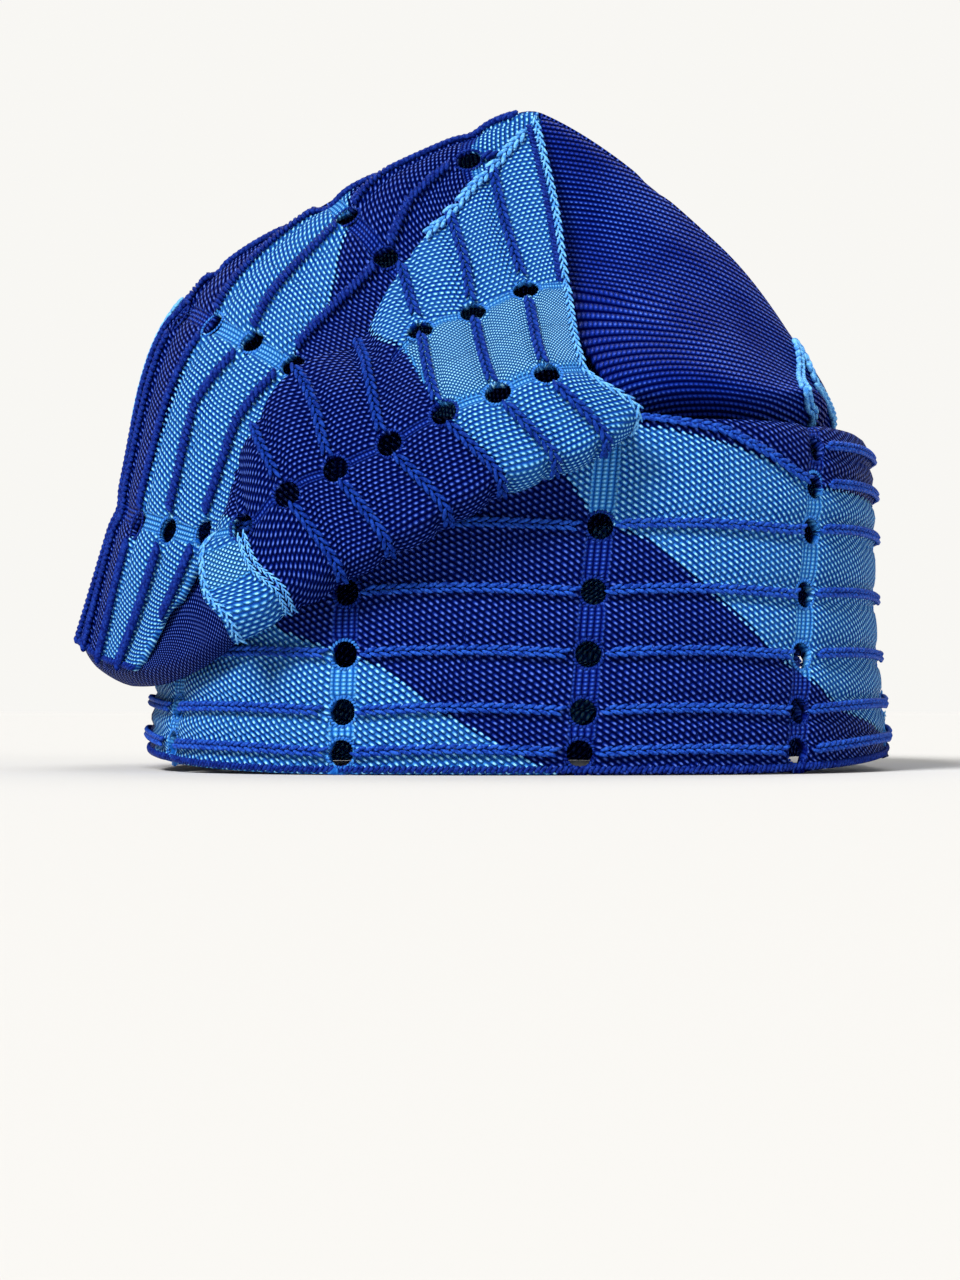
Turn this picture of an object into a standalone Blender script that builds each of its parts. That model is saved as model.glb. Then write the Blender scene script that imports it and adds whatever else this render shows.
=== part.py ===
"""Soft woven cap: an oval band, and a tall crown that folds over to the wearer's right, sewn from cloth panels.

Run with: blender --background --python part.py

The cap stands on its rim. The front faces -Y, the wearer's right is -X, and +Z is up. The tables hold
millimetres about the middle of the band on the plane of the rim, and sheet() scales them to metres and
moves them by ORIGIN_SHIFT, so that the origin is under the middle of the whole cap.

Each panel is a wall of cloth lofted through the rows of a table: a row is a section of the cloth, and
its columns are the places that the section passes through. The rows give the outer face, and the
thickness goes inwards. Eyelets are then cut through the walls, along the rows of ribs.
"""

import math
from collections import namedtuple

import bmesh
import bpy
from mathutils import Matrix, Vector
from mathutils.bvhtree import BVHTree

MM = 0.001
ORIGIN_SHIFT = Vector((8.65, 0.15, 0.0))

# Cloth, eyelets and seams
CLOTH_THICKNESS = 1.6
EYELET_RADIUS = 2.7
EYELET_SIDES = 8
EYELET_DEPTH = 4.0
SEAM_PLACE = 0.0035
HEM_CLEARANCE = 1.4
HEM_HEIGHT = 4.5

# Band
BAND_HALF_WIDTH = 80.5
BAND_HALF_DEPTH = 94.0
OVAL_POWER = 2.7
OVAL_SAMPLES = 720
SEGMENTS_PER_COLUMN = 4
SIDE_RIM_LIFT = 4.5
SIDE_RIM_LIFT_START = 0.4
SIDE_RIM_LIFT_TOP = 24.6

# Eyelet columns: the distance of the rim's end along the band's outline from the middle of the front,
# towards +X, and how much that distance grows with each millimetre of height
Column = namedtuple("Column", "length lean")
COLUMNS = (
    Column(-88.5, 0.15),
    Column(-36.5, 0.0),
    Column(11.0, 0.1),
    Column(58.5, 0.16),
    Column(112.5, 0.1),
    Column(154.0, 0.0),
    Column(204.0, 0.0),
    Column(257.0, 0.0),
    Column(310.0, 0.0),
    Column(365.0, 0.0),
    Column(426.0, 0.0),
)

# The band has no eyelets above this height within this length of the front, where the fold covers it
COVERED_LENGTH, COVERED_HEIGHT = 60.0, 58.0

BandLevel = namedtuple("BandLevel", "height outset eyelets")
BAND_LEVELS = (
    BandLevel(0.0, 2.5, False),
    BandLevel(4.2, 2.5, True),
    BandLevel(12.6, 1.7, True),
    BandLevel(24.4, 0.7, True),
    BandLevel(37.2, 0.0, True),
    BandLevel(50.6, 0.0, True),
    BandLevel(60.2, -0.2, True),
    BandLevel(68.2, -0.8, True),
    BandLevel(71.6, -1.9, False),
    BandLevel(73.0, -3.9, False),
    BandLevel(72.3, -5.7, False),
    BandLevel(70.2, -6.6, False),
)

# Crown, in sections from the wearer's left, tucked into the band, over to the low tip on the right.
# A station is the distance along the ridge in centimetres.
CrownRow = namedtuple("CrownRow", "station brow cheek ridge nape belly tail heel")
CROWN_ROWS = (
    CrownRow(0.0, (63, -30, 65), (66, -18, 65), (67, -5, 65), (64, 28, 65), (60, 46, 65), (53, 61, 65), (48, 65, 63)),
    CrownRow(1.3, (67.5, -34, 79), (71, -21, 79), (72, -5, 79), (69, 30, 80), (65, 50, 80), (55, 68, 79), (50, 70, 70)),
    CrownRow(3.7, (58.5, -49, 88), (62, -37, 92), (63.5, -22, 93), (59, 30, 92), (56, 57, 88), (47, 77, 80), (43, 75, 71)),
    CrownRow(7.1, (38, -59, 103), (42, -48, 111), (44, -33, 116), (41, 26, 112), (39, 62, 101), (35, 85, 84), (33, 81, 73)),
    CrownRow(11.9, (6, -53, 119), (5, -48, 134), (5, -39, 144), (5, 20, 138), (8, 64, 120), (15, 94, 92), (17, 99, 79)),
    CrownRow(13.6, (-10, -53, 125), (-12, -47, 134), (-11, -38, 139), (-11, 22, 134), (-9, 68, 113), (-5, 100, 84), (-4, 106, 66)),
    CrownRow(16.9, (-20, -61, 101), (-33, -50, 117), (-41, -32, 126), (-40, 24, 122), (-36, 68, 101), (-31, 98, 70), (-29, 105, 50)),
    CrownRow(21.3, (-46, -77, 82), (-66, -57, 94), (-77, -25, 101), (-73, 24, 96), (-67, 60, 82), (-58, 87, 56), (-54, 94, 39)),
    CrownRow(25.9, (-66, -80, 47), (-83, -57, 53), (-90, -20, 57), (-88, 18, 56), (-87, 46, 50), (-81, 68, 39), (-76, 77, 30)),
    CrownRow(28.7, (-83, -62, 21.5), (-91.5, -46, 24), (-98, -27, 28), (-98, 4, 30), (-96, 28, 31), (-92, 46, 29), (-87, 56, 28)),
)
CROWN_PLACES = (0.22, 0.31, 0.40, 0.62, 0.80, 0.94, 1.0)
BROW_PLACE, _, RIDGE_PLACE = CROWN_PLACES[:3]
FIRST_STATION, FOLD_STATION, LAST_STATION = 0.5, 11.9, 28.7
STATIONS_BEFORE_FOLD, STATIONS_AFTER_FOLD = 13, 18
SEAM_STATIONS = 1.7

# Lower part of the left side of the crown, down to the edge that tucks into the band
SideRow = namedtuple("SideRow", "station tuck roll cheek")
SIDE_ROWS = (
    SideRow(0.0, (57, -47, 64), (59, -41, 65), (61, -36, 65)),
    SideRow(1.3, (56, -56, 67), (63, -58, 78), (67, -48, 79)),
    SideRow(3.7, (44, -65, 67), (52, -75, 78), (55, -66, 83)),
    SideRow(7.1, (33, -72, 68), (37, -84, 79), (38, -76, 89)),
    SideRow(11.9, (18, -82, 73), (17, -90, 81), (9, -74, 97)),
)
SIDE_PLACES = (0.0, 0.05, 0.12)

# Front fold that hangs over the band, one row to each rib, from its selvage to its left edge
FoldRow = namedtuple("FoldRow", "rib top rise crease eyelet hem clearance turn_up")
FOLD_ROWS = (
    FoldRow(0.0, (4, -48, 142), (8, -62, 121), (10, -77, 102), (13, -101, 82), (23, -103, 70), 1.4, 3),
    FoldRow(1.0, (-6, -56, 130), (-3, -67, 115), (1, -78, 101), (5, -104, 81), (16, -107, 64), 1.4, 5),
    FoldRow(2.0, (-15, -63, 119), (-12, -72, 108), (-10, -80, 96), (-5, -105, 77), (6, -108, 60), 1.4, 6),
    FoldRow(3.0, (-25, -69, 107), (-23, -76, 99), (-21, -83, 92), (-16, -104, 73), (-5, -108, 56), 1.4, 6),
    FoldRow(4.0, (-34, -76, 90), (-32, -85, 85), (-31, -91, 80), (-27, -101, 67), (-16, -107, 50), 1.4, 6),
    FoldRow(5.0, (-47, -83, 84), (-44, -88, 79), (-42, -92, 74), (-38, -98, 62), (-28, -104, 44), 1.4, 6),
    FoldRow(6.0, (-55, -85, 72), (-53, -90, 67), (-51, -93, 63), (-48, -96, 57), (-38, -101, 39), 1.6, 6),
    FoldRow(7.0, (-59, -85, 62), (-58, -91, 55), (-57, -94, 49), (-54, -97, 42), (-49, -99, 33), 3.0, 4),
    FoldRow(7.8, (-60, -86, 55), (-63, -87, 50), (-66, -88, 45), (-65, -92, 36), (-61, -97, 27), 8.0, 3),
)
FOLD_PLACES = (0.0, 0.25, 0.45, 0.75)
FOLD_CREASE, FOLD_EYELET = FOLD_PLACES[2:]
FOLD_LAST_EYELET = 0.39

# Rolled end of the crown at the low tip, from under the front fold round to the back
TipRow = namedtuple("TipRow", "order station place hem")
TIP_ROWS = (
    TipRow(0.0, 25.4, 0.23, (-61, -85, 27)),
    TipRow(1.0, 26.3, 0.24, (-66, -81, 23.5)),
    TipRow(2.0, 27.3, 0.24, (-72, -74, 20.5)),
    TipRow(3.0, 28.1, 0.24, (-79, -65, 18.5)),
    TipRow(4.0, 28.3, 0.27, (-86, -55, 18)),
    TipRow(5.0, 28.3, 0.31, (-91.5, -45, 18.5)),
    TipRow(6.0, 28.3, 0.35, (-95, -35, 21)),
    TipRow(7.0, 28.3, 0.40, (-97, -24, 23.5)),
    TipRow(8.0, 28.3, 0.48, (-96.5, -6, 24)),
    TipRow(9.0, 28.3, 0.60, (-94, 13, 24)),
    TipRow(10.0, 28.3, 0.75, (-91, 34, 23)),
    TipRow(11.0, 28.3, 0.92, (-84, 52, 23)),
)
TIP_UNDERLAP = 2.3
TIP_PLACES = (0.5,)
TIP_TURN_UP = 5.0
TIP_HEM_HEIGHT = 3.5
HEM_PLACES = (1.0, 1.12, 1.24, 1.35)
HEM_STEPS = (1.05, 1.12, 1.19, 1.24, 1.35)

# Eyelets of the crown, by station and place
CrownEyelet = namedtuple("CrownEyelet", "station place")
FRONT_EYELETS = (
    CrownEyelet(25.9, 0.305), CrownEyelet(25.8, 0.265), CrownEyelet(25.6, 0.230),
    CrownEyelet(21.3, 0.370), CrownEyelet(21.1, 0.320), CrownEyelet(21.0, 0.275), CrownEyelet(21.0, 0.236),
    CrownEyelet(17.0, 0.345), CrownEyelet(17.0, 0.275), CrownEyelet(13.5, 0.295),
)
BACK_STATIONS = (3.9, 9.0, 14.1, 19.2, 24.3)
BACK_PLACES = (0.50, 0.66, 0.82)


def oval_point(turn, outset=0.0):
    """A point of the band's outline, a rounded oval; turn 0 is the front and a quarter turn is +X."""
    across = math.sin(turn)
    along = -math.cos(turn)
    width = BAND_HALF_WIDTH + outset
    depth = BAND_HALF_DEPTH + outset
    size = (abs(across / width) ** OVAL_POWER + abs(along / depth) ** OVAL_POWER) ** (-1 / OVAL_POWER)
    return Vector((across * size, along * size, 0.0))


def outline_lengths():
    """The distances along the band's outline, from the middle of the front, of evenly spaced turns."""
    points = [oval_point(2 * math.pi * i / OVAL_SAMPLES) for i in range(OVAL_SAMPLES + 1)]
    lengths = [0.0]
    for before, after in zip(points, points[1:]):
        lengths.append(lengths[-1] + (after - before).length)
    return lengths


def outline_turn(length, lengths):
    """The turn of the point at a distance along the band's outline from the middle of the front."""
    target = length % lengths[-1]
    i = next(i for i in range(OVAL_SAMPLES) if lengths[i + 1] > target)
    share = (target - lengths[i]) / (lengths[i + 1] - lengths[i])
    return 2 * math.pi * (i + share) / OVAL_SAMPLES


def band_point(turn, level):
    """A point of the band's outer face; the rim is flat at the front and back and lifts a little at each side."""
    side = max(0.0, (abs(math.sin(turn)) - SIDE_RIM_LIFT_START) / (1 - SIDE_RIM_LIFT_START))
    lift = SIDE_RIM_LIFT * side**2 * max(0.0, 1 - level.height / SIDE_RIM_LIFT_TOP)
    return oval_point(turn, level.outset) + Vector((0, 0, level.height + lift))


def smooth_value(knots, values, place):
    """The value at a place on a smooth curve through values at the knots, for numbers or vectors."""
    last = len(knots) - 1
    i = min(max(sum(k <= place for k in knots) - 1, 0), last - 1)
    span = knots[i + 1] - knots[i]

    def slope(k):
        before, after = max(k - 1, 0), min(k + 1, last)
        return (values[after] - values[before]) / (knots[after] - knots[before])

    t = (place - knots[i]) / span
    start, end = slope(i) * span, slope(i + 1) * span
    return (
        values[i] * (2 * t**3 - 3 * t**2 + 1)
        + start * (t**3 - 2 * t**2 + t)
        + values[i + 1] * (3 * t**2 - 2 * t**3)
        + end * (t**3 - t**2)
    )


def table_column(rows, name, at):
    """The point of a table's named column at a place between its rows, which their first field numbers."""
    return smooth_value([row[0] for row in rows], [Vector(getattr(row, name)) for row in rows], at)


def crown_point(station, place):
    """A point of the crown's outer face, from brow over ridge to heel."""
    columns = [table_column(CROWN_ROWS, name, station) for name in CrownRow._fields[1:]]
    return smooth_value(CROWN_PLACES, columns, place)


def side_point(station, place):
    """A point of the left side of the crown, from the tucked edge up to the ridge."""
    lower = [table_column(SIDE_ROWS, name, station) for name in SideRow._fields[1:]]
    upper = [table_column(CROWN_ROWS, name, station) for name in CrownRow._fields[1:5]]
    return smooth_value(SIDE_PLACES + CROWN_PLACES[:4], lower + upper, place)


def hem_roll(hem, clearance, turn_up, height):
    """The places of a rolled hem: down its outer face, under it, and up its inner face beside the band."""
    outer = hem.copy()
    inner = oval_point(math.atan2(hem.x, -hem.y), clearance)
    inner.z = hem.z
    under = (outer + inner) / 2
    outer.z = inner.z = hem.z + min(height, (outer - inner).length / 2)
    return [outer, under, inner, inner + Vector((0, 0, turn_up))]


def fold_point(rib, place):
    """A point of the front fold, from its top edge down to the hem and up again beside the band."""
    columns = [table_column(FOLD_ROWS, name, rib) for name in FoldRow._fields[1:5]]
    hem = table_column(FOLD_ROWS, "hem", rib)
    ribs = [row.rib for row in FOLD_ROWS]
    clearance = smooth_value(ribs, [row.clearance for row in FOLD_ROWS], rib)
    turn_up = smooth_value(ribs, [row.turn_up for row in FOLD_ROWS], rib)
    return smooth_value(FOLD_PLACES + HEM_PLACES, columns + hem_roll(hem, clearance, turn_up, HEM_HEIGHT), place)


def under_crown(station, place, depth):
    """The point at a depth inside the crown's outer face."""
    along = crown_point(station + 0.1, place) - crown_point(station - 0.1, place)
    across = crown_point(station, place + 0.002) - crown_point(station, place - 0.002)
    return crown_point(station, place) - across.cross(along).normalized() * depth


def tip_point(order, place):
    """A point of the rolled end, from under the crown's edge down to the hem and up again inside."""
    orders = [row.order for row in TIP_ROWS]
    station = smooth_value(orders, [row.station for row in TIP_ROWS], order)
    crown_place = smooth_value(orders, [row.place for row in TIP_ROWS], order)
    top = under_crown(station, crown_place, TIP_UNDERLAP)
    hem = table_column(TIP_ROWS, "hem", order)
    return smooth_value(TIP_PLACES + HEM_PLACES, [top] + hem_roll(hem, HEM_CLEARANCE, TIP_TURN_UP, TIP_HEM_HEIGHT), place)


def steps(start, end, count):
    """count + 1 evenly spaced numbers from start to end."""
    return [start + (end - start) * k / count for k in range(count + 1)]


def object_from(name, bm):
    """A new object that holds a bmesh."""
    mesh = bpy.data.meshes.new(name)
    bm.to_mesh(mesh)
    bm.free()
    obj = bpy.data.objects.new(name, mesh)
    bpy.context.scene.collection.objects.link(obj)
    return obj


def sheet(name, rows, eyelets, colour, closed=False):
    """A wall of cloth whose outer face fills the grid between rows of points, with eyelets cut through."""
    bm = bmesh.new()
    grid = [[bm.verts.new((point + ORIGIN_SHIFT) * MM) for point in row] for row in rows]
    for low, high in zip(grid, grid[1:]):
        for k in range(len(low) if closed else len(low) - 1):
            after = (k + 1) % len(low)
            bm.faces.new((low[k], low[after], high[after], high[k]))
    bm.normal_update()
    surface = BVHTree.FromBMesh(bm)
    for face in bm.faces:
        face.smooth = True
    obj = object_from(name, bm)
    wall = obj.modifiers.new("wall", "SOLIDIFY")
    wall.thickness = CLOTH_THICKNESS * MM
    wall.offset = -1
    wall.use_even_offset = True
    if eyelets:
        cut = obj.modifiers.new("eyelets", "BOOLEAN")
        cut.operation = "DIFFERENCE"
        cut.solver = "EXACT"
        cut.object = eyelet_cutters(name, surface, eyelets)
    material = bpy.data.materials.new(name)
    material.use_nodes = True
    shader = material.node_tree.nodes["Principled BSDF"]
    shader.inputs["Base Color"].default_value = (*colour, 1.0)
    shader.inputs["Roughness"].default_value = 0.8
    obj.data.materials.append(material)
    return obj


def eyelet_cutters(name, surface, eyelets):
    """Round cutters square to the cloth, one at each eyelet."""
    bm = bmesh.new()
    for point in eyelets:
        centre, normal, _, _ = surface.find_nearest((point + ORIGIN_SHIFT) * MM)
        turn = normal.to_track_quat("Z", "Y").to_matrix().to_4x4()
        bmesh.ops.create_cone(
            bm,
            cap_ends=True,
            segments=EYELET_SIDES,
            radius1=EYELET_RADIUS * MM,
            radius2=EYELET_RADIUS * MM,
            depth=2 * EYELET_DEPTH * MM,
            matrix=Matrix.Translation(centre) @ turn,
        )
    cutters = object_from(name + "_eyelet_cutters", bm)
    cutters.hide_render = True
    cutters.display_type = "WIRE"
    return cutters


def band():
    """The oval band: pierced cloth from the rim up to a top edge that turns in."""
    lengths = outline_lengths()
    starts = [column.length for column in COLUMNS]
    turns = []
    for start, end in zip(starts, starts[1:] + [starts[0] + lengths[-1]]):
        for place in steps(start, end, SEGMENTS_PER_COLUMN)[:-1]:
            turns.append(outline_turn(place, lengths))
    rows = [[band_point(turn, level) for turn in turns] for level in BAND_LEVELS]
    eyelets = []
    for level in BAND_LEVELS:
        if level.eyelets:
            for column in COLUMNS:
                length = column.length + column.lean * level.height
                if abs(length) > COVERED_LENGTH or level.height < COVERED_HEIGHT:
                    eyelets.append(band_point(outline_turn(length, lengths), level))
    return sheet("band", rows, eyelets, (0.03, 0.08, 0.45), closed=True)


def side_panel():
    """The plain left side of the crown, which rolls in at the bottom and tucks into the band."""
    places = [0.0, 0.025, 0.05, 0.075, 0.1, 0.145, 0.19, 0.24, 0.295, 0.35, RIDGE_PLACE - SEAM_PLACE]
    stations = steps(FIRST_STATION, FOLD_STATION, STATIONS_BEFORE_FOLD)
    rows = [[side_point(station, place) for station in stations] for place in places]
    return sheet("side_panel", rows, [], (0.02, 0.04, 0.30))


def crown_front():
    """The striped front of the crown, left of the slanting seam, down to the tip."""
    stations = [FOLD_STATION + 0.1] + steps(FOLD_STATION, LAST_STATION, STATIONS_AFTER_FOLD)[1:]
    upper = RIDGE_PLACE - SEAM_PLACE
    grid = []
    for station in stations:
        share = min(1.0, (station - FOLD_STATION) / SEAM_STATIONS)
        lower = upper + (BROW_PLACE - 0.006 - upper) * (0.1 + 0.9 * share)
        grid.append([crown_point(station, place) for place in steps(lower, upper, 7)])
    rows = [list(row) for row in zip(*grid)]
    eyelets = [crown_point(*spot) for spot in FRONT_EYELETS]
    return sheet("crown_front", rows, eyelets, (0.05, 0.16, 0.60))


def crown_back():
    """The back of the crown, from the ridge down to its free edge."""
    stations = steps(FIRST_STATION, FOLD_STATION, STATIONS_BEFORE_FOLD)
    stations += steps(FOLD_STATION, LAST_STATION, STATIONS_AFTER_FOLD)[1:]
    places = steps(RIDGE_PLACE, 0.94, 8) + [0.97, 1.0]
    rows = [[crown_point(station, place) for station in stations] for place in places]
    eyelets = [crown_point(station, place) for place in BACK_PLACES for station in BACK_STATIONS]
    return sheet("crown_back", rows, eyelets, (0.03, 0.10, 0.50))


def front_fold():
    """The striped fold that hangs over the band's front, with its hem turned up behind."""
    ribs = steps(0.0, 7.0, 14) + [7.4, 7.8]
    places = steps(0.0, FOLD_CREASE, 4) + steps(FOLD_CREASE, FOLD_EYELET, 3)[1:]
    places += steps(FOLD_EYELET, HEM_PLACES[0], 3)[1:] + list(HEM_STEPS)
    rows = [[fold_point(rib, place) for rib in reversed(ribs)] for place in reversed(places)]
    eyelets = [fold_point(rib, FOLD_EYELET) for rib in range(1, 7)] + [fold_point(7, FOLD_LAST_EYELET)]
    eyelets += [fold_point(rib, FOLD_CREASE) for rib in range(1, 4)]
    return sheet("front_fold", rows, eyelets, (0.10, 0.30, 0.75))


def tip_fold():
    """The rolled end of the crown at the tip, under the front panel's edge."""
    orders = steps(0.0, 11.0, 22)
    places = steps(TIP_PLACES[0], HEM_PLACES[0], 3) + list(HEM_STEPS)
    rows = [[tip_point(order, place) for order in reversed(orders)] for place in reversed(places)]
    return sheet("tip_fold", rows, [], (0.02, 0.03, 0.25))


def main():
    for obj in list(bpy.data.objects):
        bpy.data.objects.remove(obj)
    band()
    side_panel()
    crown_front()
    crown_back()
    front_fold()
    tip_fold()


main()
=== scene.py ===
"""Soft woven cap, dressed: pierced and striped cloth panels, braided ribs, whip-stitched edges and rolled hems.

The cap faces -Y, the wearer's right is -X and +Z is up. The tables hold millimetres about the middle of the
band on the plane of the rim, as the part's own source does, and PANEL_SHIFT moves them to the part's origin.

Each panel is a flat grid of cloth, cut for its eyelets, draped over the panel's surface, raised in relief
between its ribs and given its thickness. Cords and stitches are laid along the same surfaces.
"""

import logging
import math
from collections import namedtuple
from collections.abc import Callable
from dataclasses import dataclass, field
from enum import Enum

import bpy
import numpy as np
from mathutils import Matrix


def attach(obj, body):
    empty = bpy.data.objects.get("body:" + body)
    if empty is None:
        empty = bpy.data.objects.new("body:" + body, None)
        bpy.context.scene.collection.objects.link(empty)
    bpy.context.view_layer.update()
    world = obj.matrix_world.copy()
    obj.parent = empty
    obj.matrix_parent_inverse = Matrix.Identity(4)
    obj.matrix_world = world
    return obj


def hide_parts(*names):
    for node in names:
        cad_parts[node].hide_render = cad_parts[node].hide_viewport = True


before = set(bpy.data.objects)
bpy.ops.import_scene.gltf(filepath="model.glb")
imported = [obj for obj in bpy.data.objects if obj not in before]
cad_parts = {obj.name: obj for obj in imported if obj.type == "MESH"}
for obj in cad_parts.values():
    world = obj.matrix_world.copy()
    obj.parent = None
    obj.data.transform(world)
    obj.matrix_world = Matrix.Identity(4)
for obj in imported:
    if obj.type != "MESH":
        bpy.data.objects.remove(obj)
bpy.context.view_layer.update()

LOG = logging.getLogger("cap")
Pair = tuple[float, float]
Triple = tuple[float, float, float]
MM = 0.001
PANEL_SHIFT = np.array([8.65, 0.15, 0.0])
CLOTH_THICKNESS = 1.5
EYELET_RADIUS = 2.75
RIB_PITCH = 13.0

# Band outline and levels
BAND_HALF_WIDTH = 80.5
BAND_HALF_DEPTH = 94.0
OVAL_POWER = 2.7
SIDE_RIM_LIFT = 4.5
SIDE_RIM_LIFT_START = 0.4
SIDE_RIM_LIFT_TOP = 24.6
RIM_EYELET_HEIGHTS = (4.2, 12.6, 24.4, 37.2, 50.6, 60.2, 68.2)

Column = namedtuple("Column", "length lean")
COLUMNS = (
    Column(-88.5, 0.15),
    Column(-36.5, 0.0),
    Column(11.0, 0.1),
    Column(58.5, 0.16),
    Column(112.5, 0.1),
    Column(154.0, 0.0),
    Column(204.0, 0.0),
    Column(257.0, 0.0),
    Column(310.0, 0.0),
    Column(365.0, 0.0),
    Column(426.0, 0.0),
)
COVERED_LENGTH, COVERED_HEIGHT = 60.0, 58.0
BAND_HEIGHT = 73.0
BAND_SEAM = 134.5
HIDDEN_START, LIP_START, LIP_END = -70.0, 24.0, 68.1

BandLevel = namedtuple("BandLevel", "run height outset")
BAND_LEVELS = (
    BandLevel(0.0, 0.0, 2.5),
    BandLevel(4.2, 4.2, 2.5),
    BandLevel(12.6, 12.6, 1.7),
    BandLevel(24.4, 24.4, 0.7),
    BandLevel(37.2, 37.2, 0.0),
    BandLevel(50.6, 50.6, 0.0),
    BandLevel(60.2, 60.2, -0.2),
    BandLevel(68.2, 68.2, -0.8),
    BandLevel(71.8, 71.6, -1.9),
    BandLevel(74.2, 73.0, -3.9),
    BandLevel(76.2, 72.3, -5.7),
    BandLevel(78.5, 70.2, -6.6),
)

# Crown, in sections from the wearer's left, tucked into the band, over to the low tip on the right.
# A station is the distance along the ridge in centimetres.
CrownRow = namedtuple("CrownRow", "station brow cheek ridge nape belly tail heel")
CROWN_ROWS = (
    CrownRow(0.0, (63, -30, 65), (66, -18, 65), (67, -5, 65),
             (64, 28, 65), (60, 46, 65), (53, 61, 65), (48, 65, 63)),
    CrownRow(1.3, (67.5, -34, 79), (71, -21, 79), (72, -5, 79),
             (69, 30, 80), (65, 50, 80), (55, 68, 79), (50, 70, 70)),
    CrownRow(3.7, (58.5, -49, 88), (62, -37, 92), (63.5, -22, 93),
             (59, 30, 92), (56, 57, 88), (47, 77, 80), (43, 75, 71)),
    CrownRow(7.1, (38, -59, 103), (42, -48, 111), (44, -33, 116),
             (41, 26, 112), (39, 62, 101), (35, 85, 84), (33, 81, 73)),
    CrownRow(11.9, (6, -53, 119), (5, -48, 134), (5, -39, 144),
             (5, 20, 138), (8, 64, 120), (15, 94, 92), (17, 99, 79)),
    CrownRow(13.6, (-10, -53, 125), (-12, -47, 134), (-11, -38, 139),
             (-11, 22, 134), (-9, 68, 113), (-5, 100, 84), (-4, 106, 66)),
    CrownRow(16.9, (-20, -61, 101), (-33, -50, 117), (-41, -32, 126),
             (-40, 24, 122), (-36, 68, 101), (-31, 98, 70), (-29, 105, 50)),
    CrownRow(21.3, (-46, -77, 82), (-66, -57, 94), (-77, -25, 101),
             (-73, 24, 96), (-67, 60, 82), (-58, 87, 56), (-54, 94, 39)),
    CrownRow(25.9, (-66, -80, 47), (-83, -57, 53), (-90, -20, 57),
             (-88, 18, 56), (-87, 46, 50), (-81, 68, 39), (-76, 77, 30)),
    CrownRow(28.7, (-83, -62, 21.5), (-91.5, -46, 24), (-98, -27, 28),
             (-98, 4, 30), (-96, 28, 31), (-92, 46, 29), (-87, 56, 28)),
)
CROWN_PLACES = (0.22, 0.31, 0.40, 0.62, 0.80, 0.94, 1.0)
FIRST_STATION, FOLD_STATION, LAST_STATION = 0.5, 11.9, 28.7
RIDGE_PLACE = 0.40
SEAM_PLACE = 0.0035
SEAM_STATIONS = 1.7
STATION_LENGTH, PLACE_LENGTH = 10, 280

SideRow = namedtuple("SideRow", "station tuck roll cheek")
SIDE_ROWS = (
    SideRow(0.0, (57, -47, 64), (59, -41, 65), (61, -36, 65)),
    SideRow(1.3, (56, -56, 67), (63, -58, 78), (67, -48, 79)),
    SideRow(3.7, (44, -65, 67), (52, -75, 78), (55, -66, 83)),
    SideRow(7.1, (33, -72, 68), (37, -84, 79), (38, -76, 89)),
    SideRow(11.9, (18, -82, 73), (17, -90, 81), (9, -74, 97)),
)
SIDE_PLACES = (0.0, 0.05, 0.12)

FoldRow = namedtuple("FoldRow", "rib top rise crease eyelet hem clearance turn_up")
FOLD_ROWS = (
    FoldRow(0.0, (4, -48, 142), (8, -62, 121), (10, -77, 102), (13, -101, 82), (23, -103, 70), 1.4, 3),
    FoldRow(1.0, (-6, -56, 130), (-3, -67, 115), (1, -78, 101), (5, -104, 81), (16, -107, 64), 1.4, 5),
    FoldRow(2.0, (-15, -63, 119), (-12, -72, 108), (-10, -80, 96), (-5, -105, 77), (6, -108, 60), 1.4, 6),
    FoldRow(3.0, (-25, -69, 107), (-23, -76, 99), (-21, -83, 92), (-16, -104, 73), (-5, -108, 56), 1.4, 6),
    FoldRow(4.0, (-34, -76, 90), (-32, -85, 85), (-31, -91, 80), (-27, -101, 67), (-16, -107, 50), 1.4, 6),
    FoldRow(5.0, (-47, -83, 84), (-44, -88, 79), (-42, -92, 74), (-38, -98, 62), (-28, -104, 44), 1.4, 6),
    FoldRow(6.0, (-55, -85, 72), (-53, -90, 67), (-51, -93, 63), (-48, -96, 57), (-38, -101, 39), 1.6, 6),
    FoldRow(7.0, (-59, -85, 62), (-58, -91, 55), (-57, -94, 49), (-54, -97, 42), (-49, -99, 33), 3.0, 4),
    FoldRow(7.8, (-60, -86, 55), (-63, -87, 50), (-66, -88, 45), (-65, -92, 36), (-61, -97, 27), 8.0, 3),
)
FOLD_PLACES = (0.0, 0.25, 0.45, 0.75)
FOLD_CREASE, FOLD_EYELET, FOLD_LAST_EYELET = 0.45, 0.75, 0.39
FOLD_SELVAGE, FOLD_EDGE, FOLD_END = 0.06, 0.19, 7.72
FOLD_LAST_RIB, FOLD_LENGTH = 7, 80

TipRow = namedtuple("TipRow", "order station place hem")
TIP_ROWS = (
    TipRow(0.0, 25.4, 0.23, (-61, -85, 27)),
    TipRow(1.0, 26.3, 0.24, (-66, -81, 23.5)),
    TipRow(2.0, 27.3, 0.24, (-72, -74, 20.5)),
    TipRow(3.0, 28.1, 0.24, (-79, -65, 18.5)),
    TipRow(4.0, 28.3, 0.27, (-86, -55, 18)),
    TipRow(5.0, 28.3, 0.31, (-91.5, -45, 18.5)),
    TipRow(6.0, 28.3, 0.35, (-95, -35, 21)),
    TipRow(7.0, 28.3, 0.40, (-97, -24, 23.5)),
    TipRow(8.0, 28.3, 0.48, (-96.5, -6, 24)),
    TipRow(9.0, 28.3, 0.60, (-94, 13, 24)),
    TipRow(10.0, 28.3, 0.75, (-91, 34, 23)),
    TipRow(11.0, 28.3, 0.92, (-84, 52, 23)),
)
TIP_UNDERLAP = 2.3
TIP_PLACES = (0.5,)
TIP_TURN_UP = 5.0
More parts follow.
